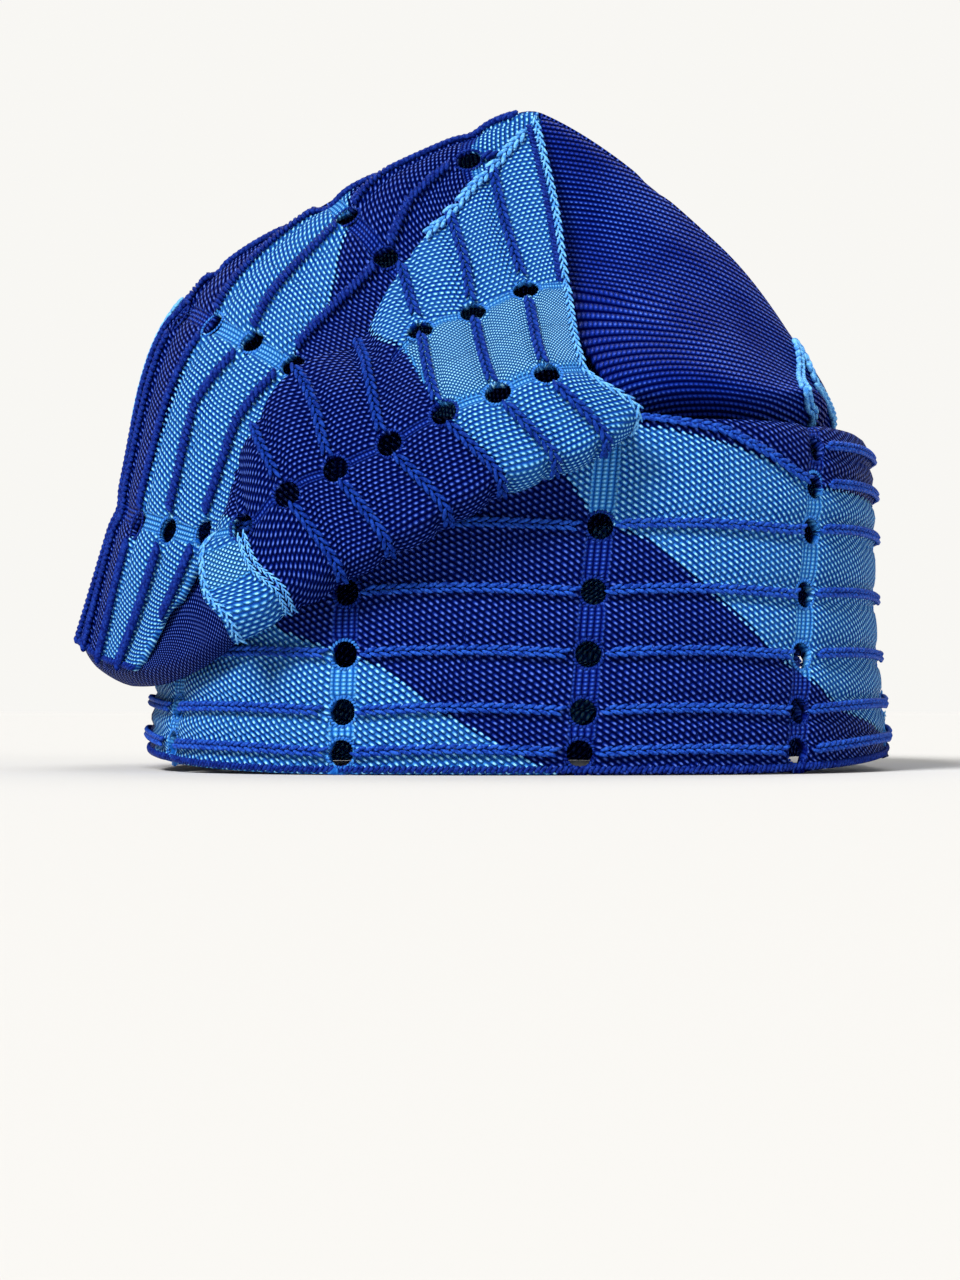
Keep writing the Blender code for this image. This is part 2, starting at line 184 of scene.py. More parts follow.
TIP_HEM_HEIGHT = 3.5
HEM_PLACES = (1.0, 1.12, 1.24, 1.35)
HEM_CLEARANCE = 1.4
HEM_HEIGHT = 4.5

# Eyelets of the crown, by station and place
FRONT_EYELETS = (
    (25.9, 0.305), (25.8, 0.265), (25.6, 0.230),
    (21.3, 0.370), (21.1, 0.320), (21.0, 0.275), (21.0, 0.236),
    (17.0, 0.345), (17.0, 0.275), (13.5, 0.295),
)
BACK_STATIONS = (3.9, 9.0, 14.1, 19.2, 24.3)
BACK_PLACES = (0.50, 0.66, 0.82)

# Ribs of the crown's front, as places along the stations
FRONT_RIB_STATIONS = (11.0, 13.5, 15.5, 17.0, 21.1, 23.0, 25.8, 28.7)
FRONT_RIBS = (
    (0.265, 0.297, 0.300, 0.277, 0.238, 0.245, 0.232, 0.208),
    (0.360, 0.385, 0.385, 0.345, 0.275, 0.285, 0.266, 0.250),
    (0.460, 0.470, 0.440, 0.400, 0.320, 0.318, 0.305, 0.305),
    (0.520, 0.530, 0.500, 0.460, 0.370, 0.362, 0.350, 0.355),
)
FRONT_ROW_STATIONS = (13.5, 17.0, 21.1, 25.75)

# Light stripes, as outlines in each panel's own places
BAND_STRIPES = (
    ((0, 73), (9, 61), (15, 52), (26, 48), (40, 37), (55, 24.5), (76, 12.5), (102, 6), (122, -2), (134, -2),
     (134, 57), (69, 60), (46, 67.5), (31, 71)),
    ((11, -2), (-2, 4.5), (-15, 12), (-29, 22), (-50, 29), (-90, 50), (-130, 80), (-185, 80), (-100, -2)),
    ((150, -2), (200, -2), (140, 60), (134, 80), (134, 20)),
    ((290, -2), (225, 40), (175, 80), (235, 80), (290, 45)),
    ((-290, 46), (-245, 20), (-215, -2), (-290, -2)),
)
FOLD_STRIPES = (
    ((-1, -0.2), (3.8, -0.2), (3.75, 0.1), (3.62, 0.28), (3.0, 0.72), (2.9, 0.85), (2.95, 1.6), (-1, 1.6)),
    ((7.0, 0.36), (7.05, 0.8), (7.1, 1.6), (8.5, 1.6), (8.5, 0.1), (7.5, 0.2)),
)
FRONT_STRIPES = (
    ((29.5, 0.305), (25.9, 0.305), (21.1, 0.321), (17.2, 0.40), (16.6, 0.41), (16.4, 0.39), (17.0, 0.345),
     (17.3, 0.325), (18.3, 0.283), (19.3, 0.255), (20.9, 0.240), (21.3, 0.15), (29.5, 0.15)),
    ((11.0, 0.15), (11.0, 0.43), (12.7, 0.43), (13.2, 0.385), (13.4, 0.33), (13.5, 0.27), (13.3, 0.15)),
)
BACK_STRIPES = (
    ((0, 0.38), (4, 0.38), (9, 1.05), (2, 1.05)),
    ((12.4, 0.38), (15.5, 0.38), (20, 1.05), (14, 1.05)),
    ((20, 0.38), (24, 0.38), (30, 1.05), (25, 1.05)),
)


def smooth_curve(knots, values, at) -> np.ndarray:
    """Points on a smooth curve through values at the knots.

    Args:
        knots: rising numbers, one for each value.
        values: (knots, 3) for one curve, or (places, knots, 3) for a curve of its own at each place.
        at: the places.

    Returns:
        One point for each place.
    """
    knots = np.asarray(knots, float)
    values = np.asarray(values, float)
    at = np.asarray(at, float)
    if values.ndim == 2:
        values = np.broadcast_to(values, (len(at),) + values.shape)
    last = len(knots) - 1
    i = np.clip(np.searchsorted(knots, at, side="right") - 1, 0, last - 1)
    each = np.arange(len(at))
    span = knots[i + 1] - knots[i]

    def slope(k):
        before, after = np.maximum(k - 1, 0), np.minimum(k + 1, last)
        return (values[each, after] - values[each, before]) / (knots[after] - knots[before])[:, None]

    t = ((at - knots[i]) / span)[:, None]
    start, end = slope(i) * span[:, None], slope(i + 1) * span[:, None]
    return (
        values[each, i] * (2 * t**3 - 3 * t**2 + 1)
        + start * (t**3 - 2 * t**2 + t)
        + values[each, i + 1] * (3 * t**2 - 2 * t**3)
        + end * (t**3 - t**2)
    )


def table_column(rows, name: str, at) -> np.ndarray:
    """The points of a table's named column at places between its rows, which their first field numbers."""
    values = np.array([np.atleast_1d(getattr(row, name)) for row in rows], float)
    return smooth_curve([row[0] for row in rows], values, at)


def unit(vectors: np.ndarray) -> np.ndarray:
    """The vectors at length one."""
    return vectors / (np.linalg.norm(vectors, axis=1, keepdims=True) + 1e-12)


def nearest(distances) -> np.ndarray:
    """Of several signed distances, the one nearest to zero at each place."""
    distances = np.stack(distances, 1)
    return distances[np.arange(len(distances)), np.abs(distances).argmin(1)]


def oval_points(turn, outset) -> np.ndarray:
    """Points of the band's outline; turn 0 is the front and a quarter turn is +X."""
    turn = np.asarray(turn, float)
    outset = np.broadcast_to(np.asarray(outset, float), turn.shape)
    across, along = np.sin(turn), -np.cos(turn)
    size = (
        np.abs(across / (BAND_HALF_WIDTH + outset)) ** OVAL_POWER
        + np.abs(along / (BAND_HALF_DEPTH + outset)) ** OVAL_POWER
    ) ** (-1 / OVAL_POWER)
    return np.stack([across * size, along * size, np.zeros_like(size)], 1)


OUTLINE_TURNS = np.linspace(-math.pi, math.pi, 1441)
OUTLINE = oval_points(OUTLINE_TURNS, 0.0)
OUTLINE_LENGTHS = np.concatenate([[0.0], np.cumsum(np.linalg.norm(np.diff(OUTLINE, axis=0), axis=1))])
OUTLINE_LENGTH = float(OUTLINE_LENGTHS[-1])
OUTLINE_LENGTHS = OUTLINE_LENGTHS - OUTLINE_LENGTH / 2


def band_points(length, run) -> np.ndarray:
    """Points of the band's outer face at lengths round it and runs up its profile."""
    turn = np.interp(length, OUTLINE_LENGTHS, OUTLINE_TURNS)
    knots = [level.run for level in BAND_LEVELS]
    profile = smooth_curve(knots, [(level.height, level.outset, 0) for level in BAND_LEVELS], run)
    side = np.maximum(0.0, (np.abs(np.sin(turn)) - SIDE_RIM_LIFT_START) / (1 - SIDE_RIM_LIFT_START))
    lift = SIDE_RIM_LIFT * side**2 * np.maximum(0.0, 1 - profile[:, 0] / SIDE_RIM_LIFT_TOP)
    points = oval_points(turn, profile[:, 1])
    points[:, 2] = profile[:, 0] + lift
    return points


def crown_points(station, place) -> np.ndarray:
    """Points of the crown's outer face, from brow over ridge to heel."""
    columns = np.stack([table_column(CROWN_ROWS, name, station) for name in CrownRow._fields[1:]], 1)
    return smooth_curve(CROWN_PLACES, columns, place)


def side_points(station, place) -> np.ndarray:
    """Points of the left side of the crown, from the tucked edge up to the ridge."""
    lower = [table_column(SIDE_ROWS, name, station) for name in SideRow._fields[1:]]
    upper = [table_column(CROWN_ROWS, name, station) for name in CrownRow._fields[1:5]]
    return smooth_curve(SIDE_PLACES + CROWN_PLACES[:4], np.stack(lower + upper, 1), place)


def hem_roll(hem: np.ndarray, clearance, turn_up, most: float) -> list[np.ndarray]:
    """The places of a rolled hem: down its outer face, under it, and up its inner face beside the band."""
    outer = hem.copy()
    inner = oval_points(np.arctan2(hem[:, 0], -hem[:, 1]), clearance)
    inner[:, 2] = hem[:, 2]
    under = (outer + inner) / 2
    height = np.minimum(most, np.linalg.norm(outer - inner, axis=1) / 2)
    outer[:, 2] = hem[:, 2] + height
    inner[:, 2] = outer[:, 2]
    top = inner.copy()
    top[:, 2] += turn_up
    return [outer, under, inner, top]


def fold_points(rib, place) -> np.ndarray:
    """Points of the front fold, from its top edge down to the hem and up again beside the band."""
    columns = [table_column(FOLD_ROWS, name, rib) for name in FoldRow._fields[1:5]]
    hem = table_column(FOLD_ROWS, "hem", rib)
    clearance = table_column(FOLD_ROWS, "clearance", rib)[:, 0]
    turn_up = table_column(FOLD_ROWS, "turn_up", rib)[:, 0]
    roll = hem_roll(hem, clearance, turn_up, HEM_HEIGHT)
    return smooth_curve(FOLD_PLACES + HEM_PLACES, np.stack(columns + roll, 1), place)


def under_crown(station, place, depth: float) -> np.ndarray:
    """Points at a depth inside the crown's outer face."""
    along = crown_points(station + 0.1, place) - crown_points(station - 0.1, place)
    across = crown_points(station, place + 0.002) - crown_points(station, place - 0.002)
    return crown_points(station, place) - unit(np.cross(across, along)) * depth


def tip_points(order, place) -> np.ndarray:
    """Points of the rolled end, from under the crown's edge down to the hem and up again inside."""
    station = table_column(TIP_ROWS, "station", order)[:, 0]
    crown_place = table_column(TIP_ROWS, "place", order)[:, 0]
    top = under_crown(station, crown_place, TIP_UNDERLAP)
    hem = table_column(TIP_ROWS, "hem", order)
    roll = hem_roll(hem, HEM_CLEARANCE, TIP_TURN_UP, TIP_HEM_HEIGHT)
    return smooth_curve(TIP_PLACES + HEM_PLACES, np.stack([top] + roll, 1), place)


def front_lower_edge(station) -> np.ndarray:
    """The place of the crown front's lower edge, which runs in from the peak."""
    upper = RIDGE_PLACE - SEAM_PLACE
    share = np.clip((np.asarray(station) - FOLD_STATION) / SEAM_STATIONS, 0.0, 1.0)
    return upper + (CROWN_PLACES[0] - 0.006 - upper) * (0.1 + 0.9 * share)


def front_rib_number(station, place) -> np.ndarray:
    """How many ribs a place of the crown's front lies above its lowest rib, with a fraction."""
    station, place = np.asarray(station, float), np.asarray(place, float)
    lines = np.stack([np.interp(station, FRONT_RIB_STATIONS, rib) for rib in FRONT_RIBS], 1)
    number = np.zeros_like(place)
    for k in range(len(FRONT_RIBS) - 1):
        width = lines[:, k + 1] - lines[:, k]
        inside = place >= lines[:, k] if k else np.ones(len(place), bool)
        number = np.where(inside, k + (place - lines[:, k]) / width, number)
    return number


def inside_distance(places: np.ndarray, outline, scale: Pair) -> np.ndarray:
    """The signed distance of places to an outline, above zero inside it.

    Args:
        places: (n, 2) places on a panel.
        outline: the outline's corners, as places.
        scale: millimetres to one unit of each place.

    Returns:
        Millimetres, one for each place.
    """
    p = places * np.array(scale)
    corners = np.array(outline, float) * np.array(scale)
    nearest = np.full(len(p), np.inf)
    inside = np.zeros(len(p), bool)
    for a, b in zip(corners, np.roll(corners, -1, axis=0)):
        edge = b - a
        share = np.clip(((p - a) @ edge) / (edge @ edge), 0, 1)
        nearest = np.minimum(nearest, np.linalg.norm(p - a - share[:, None] * edge, axis=1))
        crosses = (a[1] > p[:, 1]) != (b[1] > p[:, 1])
        with np.errstate(divide="ignore", invalid="ignore"):
            at = a[0] + (p[:, 1] - a[1]) / (b[1] - a[1]) * edge[0]
        inside ^= crosses & (p[:, 0] < at)
    return np.where(inside, nearest, -nearest)


class Measured:
    """Lengths along one of a surface's two directions, in millimetres, read from a grid."""

    def __init__(self, surface, first: Pair, last: Pair, axis: int) -> None:
        self.first, self.last = np.array(first), np.array(last)
        steps = np.linspace(0, 1, 101)
        a = first[0] + steps * (last[0] - first[0])
        b = first[1] + steps * (last[1] - first[1])
        both = np.meshgrid(a, b, indexing="ij")
        points = surface(both[0].ravel(), both[1].ravel()).reshape(101, 101, 3)
        parts = np.linalg.norm(np.diff(points, axis=axis), axis=2)
        start = np.zeros((1, 101)) if axis == 0 else np.zeros((101, 1))
        self.lengths = np.cumsum(np.concatenate([start, parts], axis), axis)

    def at(self, a, b) -> np.ndarray:
        """The lengths at places of the surface."""
        a, b = np.broadcast_arrays(np.asarray(a, float), np.asarray(b, float))
        spot = (np.stack([a, b], 1) - self.first) / (self.last - self.first) * 100
        spot = np.clip(spot, 0, 99.999)
        low = spot.astype(int)
        (i, j), (s, r) = low.T, (spot - low).T
        table = self.lengths
        return (
            table[i, j] * (1 - s) * (1 - r)
            + table[i + 1, j] * s * (1 - r)
            + table[i, j + 1] * (1 - s) * r
            + table[i + 1, j + 1] * s * r
        )


class Lay(Enum):
    """How the loops of a cord lie."""

    CHAIN = "two rows of loops that lean towards each other"
    TWIST = "one row of strands that lean across the whole cord"


@dataclass(frozen=True)
class Tone:
    """The colours of a cloth: the crown of each thread crossing, with a painted highlight, its flanks, and the
    gaps between them, in painted shade.
    """

    face: Triple
    flank: Triple
    gap: Triple


# Each tone's face is its thread crowns with a painted highlight; its darkest colour is painted shade in the
# gaps between threads.
SKY = Tone(face=(0.38, 0.80, 1.0), flank=(0.065, 0.38, 0.96), gap=(0.0002, 0.020, 0.28))
ROYAL = Tone(face=(0.085, 0.17, 0.64), flank=(0.006, 0.028, 0.32), gap=(0.0001, 0.0004, 0.030))
SATIN_SKY = Tone(face=(0.24, 0.62, 1.0), flank=(0.07, 0.36, 0.86), gap=(0.004, 0.08, 0.42))
SATIN_ROYAL = Tone(face=(0.050, 0.130, 0.60), flank=(0.008, 0.035, 0.34), gap=(0.0003, 0.002, 0.085))
DEEP_SHADE, SKY_SHADE = (0.0003, 0.002, 0.08), (0.03, 0.20, 0.60)
FIBRE_SCALE = 2600.0


class Wiring:
    """Short hands for wiring one material."""

    def __init__(self, name: str) -> None:
        self.material = bpy.data.materials.new(name)
        self.material.use_nodes = True
        self.tree = self.material.node_tree
        self.shader = self.tree.nodes["Principled BSDF"]

    def link(self, value, socket) -> None:
        """Sets a socket to a number or colour, or links it to another socket."""
        if isinstance(value, bpy.types.NodeSocket):
            self.tree.links.new(value, socket)
        elif isinstance(value, tuple) and len(value) == 3 and socket.type == "RGBA":
            socket.default_value = (*value, 1.0)
        else:
            socket.default_value = value

    def math(self, kind: str, *values):
        """The result of a Math node."""
        node = self.tree.nodes.new("ShaderNodeMath")
        node.operation = kind
        for socket, value in zip(node.inputs, values):
            self.link(value, socket)
        return node.outputs[0]

    def plus(self, *values):
        """The sum of two values."""
        return self.math("ADD", *values)

    def minus(self, *values):
        """The first value less the second."""
        return self.math("SUBTRACT", *values)

    def times(self, *values):
        """The product of two values."""
        return self.math("MULTIPLY", *values)

    def mix(self, share, low, high):
        """The mix of two colours."""
        node = self.tree.nodes.new("ShaderNodeMix")
        node.data_type = "RGBA"
        self.link(share, node.inputs[0])
        self.link(low, node.inputs[6])
        self.link(high, node.inputs[7])
        return node.outputs[2]

    def threads(self, raised, tone: Tone):
        """A cloth's colour, from its gaps in painted shade at 0.16 over the threads' flanks to their crowns
        with a painted highlight at 1.
        """
        low = self.mix(self.ramp(raised, 0.16, 0.72), tone.gap, tone.flank)
        return self.mix(self.ramp(raised, 0.72, 1.0), low, tone.face)

    def ramp(self, value, start: float, end: float):
        """0 to 1 as a value goes smoothly from start to end."""
        node = self.tree.nodes.new("ShaderNodeMapRange")
        node.interpolation_type = "SMOOTHSTEP"
        self.link(value, node.inputs[0])
        node.inputs[1].default_value = start
        node.inputs[2].default_value = end
        return node.outputs[0]

    def attribute(self, name: str):
        """A number that the mesh holds at each of its points."""
        node = self.tree.nodes.new("ShaderNodeAttribute")
        node.attribute_name = name
        return node.outputs["Fac"]

    def cloth_place(self):
        """The two distances along the cloth, in millimetres."""
        uv = self.tree.nodes.new("ShaderNodeUVMap")
        uv.uv_map = "cloth"
        split = self.tree.nodes.new("ShaderNodeSeparateXYZ")
        self.tree.links.new(uv.outputs[0], split.inputs[0])
        return split.outputs[0], split.outputs[1]

    def noise(self, scale: float, detail: float = 2.0):
        """Noise on object coordinates; scale counts the waves in a metre."""
        node = self.tree.nodes.new("ShaderNodeTexNoise")
        node.inputs["Scale"].default_value = scale
        node.inputs["Detail"].default_value = detail
        place = self.tree.nodes.new("ShaderNodeTexCoord")
        self.tree.links.new(place.outputs["Object"], node.inputs["Vector"])
        return node.outputs[0]

    def wave(self, value, pitch: float):
        """0 to 1 and back over each pitch of a value."""
        return self.math("ABSOLUTE", self.math("SINE", self.times(value, math.pi / pitch)))

    def silky(self, raised) -> None:
        """Gives the shader the soft gloss of silky thread, where the threads are raised."""
        self.shader.inputs["Roughness"].default_value = 0.45
        self.link(self.times(raised, 0.10), self.shader.inputs["Specular IOR Level"])
        self.shader.inputs["Specular Tint"].default_value = (0.5, 0.75, 1.0, 1.0)

    def bump(self, height, distance: float, strength: float = 1.0) -> None:
        """Raises the surface's shading by a height."""
        node = self.tree.nodes.new("ShaderNodeBump")
        node.inputs["Strength"].default_value = strength
        node.inputs["Distance"].default_value = distance
        self.link(height, node.inputs["Height"])
        self.tree.links.new(node.outputs[0], self.shader.inputs["Normal"])


@dataclass(frozen=True)
class StripedCloth:
    """Woven cloth in two tones, whose threads gather into satin bridges along the rows of eyelets."""

    name: str
    pitch_along: float = 1.3
    pitch_across: float = 1.15
    turn: float = 0.0
    stagger: float = 0.5
    bead: float = 0.8
    bridge_half: float = 1.9
    bridge_pitch: float = 1.0
    stitch_pitch: float = 0.85
    fine_pitch: float = 1.15
    bump_depth: float = 0.001

    def material(self) -> bpy.types.Material:
        """Builds the material."""
        w = Wiring(self.name)
        wander = w.times(w.minus(w.noise(70.0), 0.5), 1.6)
        along, across = w.cloth_place()
        turn = math.radians(self.turn)
        u = w.plus(w.times(along, math.cos(turn)), w.plus(w.times(across, math.sin(turn)), wander))
        v = w.minus(w.times(across, math.cos(turn)), w.minus(w.times(along, math.sin(turn)), wander))
        row = w.math("FLOOR", w.math("DIVIDE", v, self.pitch_across))
        shifted = w.plus(u, w.times(row, self.stagger * self.pitch_along))
        beads = w.plus(1.0 - self.bead, w.times(self.bead, w.wave(shifted, self.pitch_along)))
        raised = w.times(beads, w.wave(v, self.pitch_across))
        fine = w.times(w.wave(w.plus(u, v), self.fine_pitch), w.wave(w.minus(u, v), self.fine_pitch))
        smooth = w.attribute("smooth")
        finer = w.times(w.plus(0.30, w.times(fine, 0.75)), smooth)
        raised = w.plus(w.times(raised, w.minus(1.0, smooth)), finer)
        dot = w.ramp(raised, 0.16, 0.92)
        bridge = w.attribute("bridge")
        stitches = w.wave(w.attribute("bridge_run"), self.stitch_pitch)
        threads = w.wave(w.plus(bridge, self.bridge_pitch / 2), self.bridge_pitch)
        thread = w.times(threads, w.plus(0.35, w.times(0.65, stitches)))
        near = w.ramp(w.math("ABSOLUTE", bridge), self.bridge_half + 0.35, self.bridge_half - 0.35)
        light = w.ramp(w.plus(w.attribute("light"), w.times(w.minus(dot, 0.5), 0.9)), -0.12, 0.12)
        # Thread crowns get a painted highlight and the gaps between threads painted shade, from the tones.
        crossing = w.mix(light, w.threads(raised, ROYAL), w.threads(raised, SKY))
        satin = w.mix(light, w.threads(thread, SATIN_ROYAL), w.threads(thread, SATIN_SKY))
        colour = w.mix(near, crossing, satin)
        uneven = w.times(w.ramp(w.noise(140.0), 0.3, 0.7), 0.2)
        w.link(w.mix(uneven, colour, w.mix(light, DEEP_SHADE, SKY_SHADE)), w.shader.inputs["Base Color"])
        w.silky(dot)
        height = w.plus(w.times(dot, w.minus(1.0, near)), w.times(thread, w.times(near, 0.6)))
        w.bump(w.plus(height, w.times(w.noise(FIBRE_SCALE, 3.0), 0.2)), self.bump_depth)
        return w.material


@dataclass(frozen=True)
class RibbedCloth:
    """Plain dark cloth with fine raised weft lines, each a string of small threads."""

    name: str
    pitch: float = 1.15
    bead_pitch: float = 1.05
    wander: float = 1.2
    # Its face is a painted highlight on the thread crowns, and its darkest colour is painted shade in the gaps.
    tone: Tone = Tone(face=(0.060, 0.160, 0.70), flank=(0.004, 0.024, 0.32), gap=(0.0001, 0.0006, 0.034))

    def material(self) -> bpy.types.Material:
        """Builds the material."""
        w = Wiring(self.name)
        cross, line = w.cloth_place()
        line = w.plus(line, w.times(w.noise(30.0), self.wander))
        row = w.math("FLOOR", w.math("DIVIDE", line, self.pitch))
        shifted = w.plus(cross, w.times(row, self.bead_pitch * 0.37))
        bead = w.plus(0.62, w.times(0.38, w.wave(shifted, self.bead_pitch)))
        raised = w.times(w.wave(line, self.pitch), bead)
        dot = w.ramp(raised, 0.30, 1.0)
        shown = w.times(raised, w.plus(0.78, w.times(w.ramp(w.noise(55.0), 0.3, 0.75), 0.22)))
        w.link(w.threads(shown, self.tone), w.shader.inputs["Base Color"])
        w.silky(dot)
        w.bump(w.plus(dot, w.times(w.noise(FIBRE_SCALE, 3.0), 0.2)), 0.0008)
        return w.material


@dataclass(frozen=True)
class CordYarn:
    """The yarn of the braids and stitches."""

    name: str
    face: Triple
    shade: Triple

    def material(self) -> bpy.types.Material:
        """Builds the material."""
        w = Wiring(self.name)
        fibre = w.noise(1500.0, 3.0)
        w.link(w.mix(w.ramp(fibre, 0.35, 0.65), self.shade, self.face), w.shader.inputs["Base Color"])
        w.silky(0.7)
        w.bump(w.noise(3200.0, 2.0), 0.0003, 0.6)
        return w.material


BAND_CLOTH = StripedCloth(
    "band_cloth", pitch_along=1.6, pitch_across=1.1, turn=-38.0, bead=0.6, bridge_half=2.7, bridge_pitch=1.35
)
FOLD_CLOTH = StripedCloth(
    "fold_cloth", pitch_along=1.35, pitch_across=1.15, turn=90.0, bead=0.7, bridge_half=0.9
)
CROWN_CLOTH = StripedCloth("crown_cloth", pitch_along=1.35, pitch_across=1.05, turn=90.0, bead=0.6)
SIDE_CLOTH = RibbedCloth("side_cloth")
TIP_CLOTH = StripedCloth("tip_cloth", pitch_along=1.3, pitch_across=1.15, turn=90.0, bead=0.7)
ROYAL_CORD = CordYarn("royal_cord", face=(0.022, 0.105, 0.56), shade=(0.004, 0.026, 0.26))
DEEP_CORD = CordYarn("deep_cord", face=(0.010, 0.052, 0.36), shade=(0.002, 0.014, 0.17))
NAVY_CORD = CordYarn("navy_cord", face=(0.009, 0.036, 0.29), shade=(0.001, 0.006, 0.12))
RIM_THREAD = CordYarn("rim_thread", face=(0.05, 0.24, 0.70), shade=(0.015, 0.11, 0.46))
SKY_CORD = CordYarn("sky_cord", face=(0.20, 0.56, 0.96), shade=(0.05, 0.25, 0.70))


def deselect() -> None:
    """Leaves nothing selected."""
    if bpy.context.mode != "OBJECT":
        bpy.ops.object.mode_set(mode="OBJECT")
    bpy.ops.object.select_all(action="DESELECT")


def select_only(obj: bpy.types.Object) -> None:
    """Leaves one object selected and active."""
    deselect()
    obj.select_set(True)
    bpy.context.view_layer.objects.active = obj


def edit_whole(obj: bpy.types.Object, operator, **options) -> None:
    """Runs a mesh operator on the whole of an object's mesh."""
    select_only(obj)
    bpy.ops.object.mode_set(mode="EDIT")
    bpy.ops.mesh.select_all(action="SELECT")
    operator(**options)
    bpy.ops.object.mode_set(mode="OBJECT")


def apply_modifiers(obj: bpy.types.Object) -> None:
    """Applies an object's modifiers in order."""
    select_only(obj)
    for modifier in list(obj.modifiers):
        bpy.ops.object.modifier_apply(modifier=modifier.name)


def place_of(obj: bpy.types.Object) -> np.ndarray:
    """The points of an object's mesh."""
    points = np.empty(len(obj.data.vertices) * 3)
    obj.data.vertices.foreach_get("co", points)
    return points.reshape(-1, 3)


@dataclass
class ClothPanel:
    """A panel of cloth draped over its own surface.

    Places on it are pairs of numbers. Facing is 1 where the first place runs anticlockwise of the second as
    seen from outside, otherwise -1. Stripes are outlines in places, and the scale turns those into millimetres.
    """

    name: str = "panel"
    nodes: tuple[str, ...] = ()
    shape: Callable = crown_points
    facing: float = 1.0
    closed: bool = False
    stripes: tuple = ()
    stripe_scale: Pair = (STATION_LENGTH, PLACE_LENGTH)
    first: Pair = (0.0, 0.0)
    last: Pair = (1.0, 1.0)
    counts: tuple[int, int] = (40, 40)
    puff: float = 0.6
    ridge: float = 0.6
    groove: float = 0.5
    dip: float = 0.7
    dip_half: float = 3.0
    puff_half: float = 3.4
    groove_place: float = 1.9
    groove_half: float = 0.8
    wall: float = CLOTH_THICKNESS
    finish: object = None
    slot: str = ""

    def surface(self, a: np.ndarray, b: np.ndarray) -> np.ndarray:
        """Points of the panel's outer face."""
        return self.shape(a, b)

    def cloth(self, a: np.ndarray, b: np.ndarray) -> np.ndarray:
        """Distances along and across the threads, in millimetres."""
        raise NotImplementedError

    def gaps(self, a: np.ndarray, b: np.ndarray) -> tuple[np.ndarray, np.ndarray]:
        """Signed distances to the nearest rib and to the nearest row of eyelets."""
        return np.full(len(a), 9.0), np.full(len(a), 9.0)

    def bridge_run(self, a: np.ndarray, b: np.ndarray) -> np.ndarray:
        """Distances along the rows of eyelets."""
        return self.cloth(a, b)[:, 1]

    def smooth(self, a: np.ndarray, b: np.ndarray) -> np.ndarray:
        """1 where the weave is fine and smooth, otherwise 0."""
        return np.zeros(len(a))

    def light(self, a: np.ndarray, b: np.ndarray) -> np.ndarray:
        """The signed distance to the nearest light stripe, above zero inside it."""
        if not self.stripes:
            return np.full(len(a), -9.0)
        places = np.stack([a, b], 1)
        return np.max([inside_distance(places, stripe, self.stripe_scale) for stripe in self.stripes], axis=0)

    def eyelet_places(self) -> np.ndarray:
        """The places of the eyelets."""
        return np.empty((0, 2))

    def eyelets(self) -> np.ndarray:
        """The middles of the eyelets, in millimetres."""
        return self.surface(*self.eyelet_places().T)

    def outward(self, a: np.ndarray, b: np.ndarray) -> np.ndarray:
        """Directions square to the outer face, before relief."""
        step_a = (self.last[0] - self.first[0]) * 1e-3
        step_b = (self.last[1] - self.first[1]) * 1e-3
        along = self.surface(a + step_a, b) - self.surface(a - step_a, b)
        across = self.surface(a, b + step_b) - self.surface(a, b - step_b)
        return unit(np.cross(along, across)) * self.facing

    def lift(self, a: np.ndarray, b: np.ndarray) -> np.ndarray:
        """The relief of the cloth: puffed between ribs, raised under them and drawn in at the bridges."""
        rib, row = self.gaps(a, b)
        puff = self.puff * (1 - np.exp(-((rib / self.puff_half) ** 2)))
        ridge = self.ridge * np.exp(-(rib**2))
        groove = self.groove * np.exp(-(((np.abs(rib) - self.groove_place) / self.groove_half) ** 2))
        dip = self.dip * np.exp(-((row / self.dip_half) ** 2))
        return puff + ridge - groove - dip

    def point(self, a, b, height=0.0) -> tuple[np.ndarray, np.ndarray]:
        """Points on the finished cloth, raised by a height, and the directions outwards there."""
        a, b = np.asarray(a, float), np.asarray(b, float)
        normal = self.outward(a, b)
        return self.surface(a, b) + normal * (self.lift(a, b) + height)[:, None], normal

    def flat_cloth(self) -> bpy.types.Object:
        """A flat grid of cloth over the panel's places."""
        deselect()
        bpy.ops.mesh.primitive_grid_add(x_subdivisions=self.counts[0], y_subdivisions=self.counts[1], size=1.0)
        obj = bpy.context.object
        obj.name = self.name
        flat = place_of(obj)
        first, last = np.array(self.first), np.array(self.last)
        flat[:, :2] = first + (flat[:, :2] + 0.5) * (last - first)
        flat[:, 2] = 0.0
        obj.data.vertices.foreach_set("co", flat.ravel())
        return obj

    def adjust(self, a: np.ndarray, b: np.ndarray) -> tuple[np.ndarray, np.ndarray]:
        """Fits even places to a panel whose edge isn't straight."""
        return a, b

    def cut(self, obj: bpy.types.Object, points: np.ndarray) -> None:
        """Cuts out the cloth inside each eyelet."""
        mesh = obj.data
        corners = np.empty(len(mesh.polygons) * 4, int)
        mesh.polygons.foreach_get("vertices", corners)
        middles = points[corners.reshape(-1, 4)].mean(1)
        inside = np.zeros(len(middles), bool)
        for eyelet in self.eyelets():
            inside |= np.linalg.norm(middles - eyelet, axis=1) < EYELET_RADIUS
        select_only(obj)
        bpy.context.tool_settings.mesh_select_mode = (False, False, True)
        mesh.vertices.foreach_set("select", np.zeros(len(mesh.vertices), bool))
        mesh.edges.foreach_set("select", np.zeros(len(mesh.edges), bool))
        mesh.polygons.foreach_set("select", inside)
        bpy.ops.object.mode_set(mode="EDIT")
        bpy.ops.mesh.delete(type="FACE")
        bpy.ops.object.mode_set(mode="OBJECT")

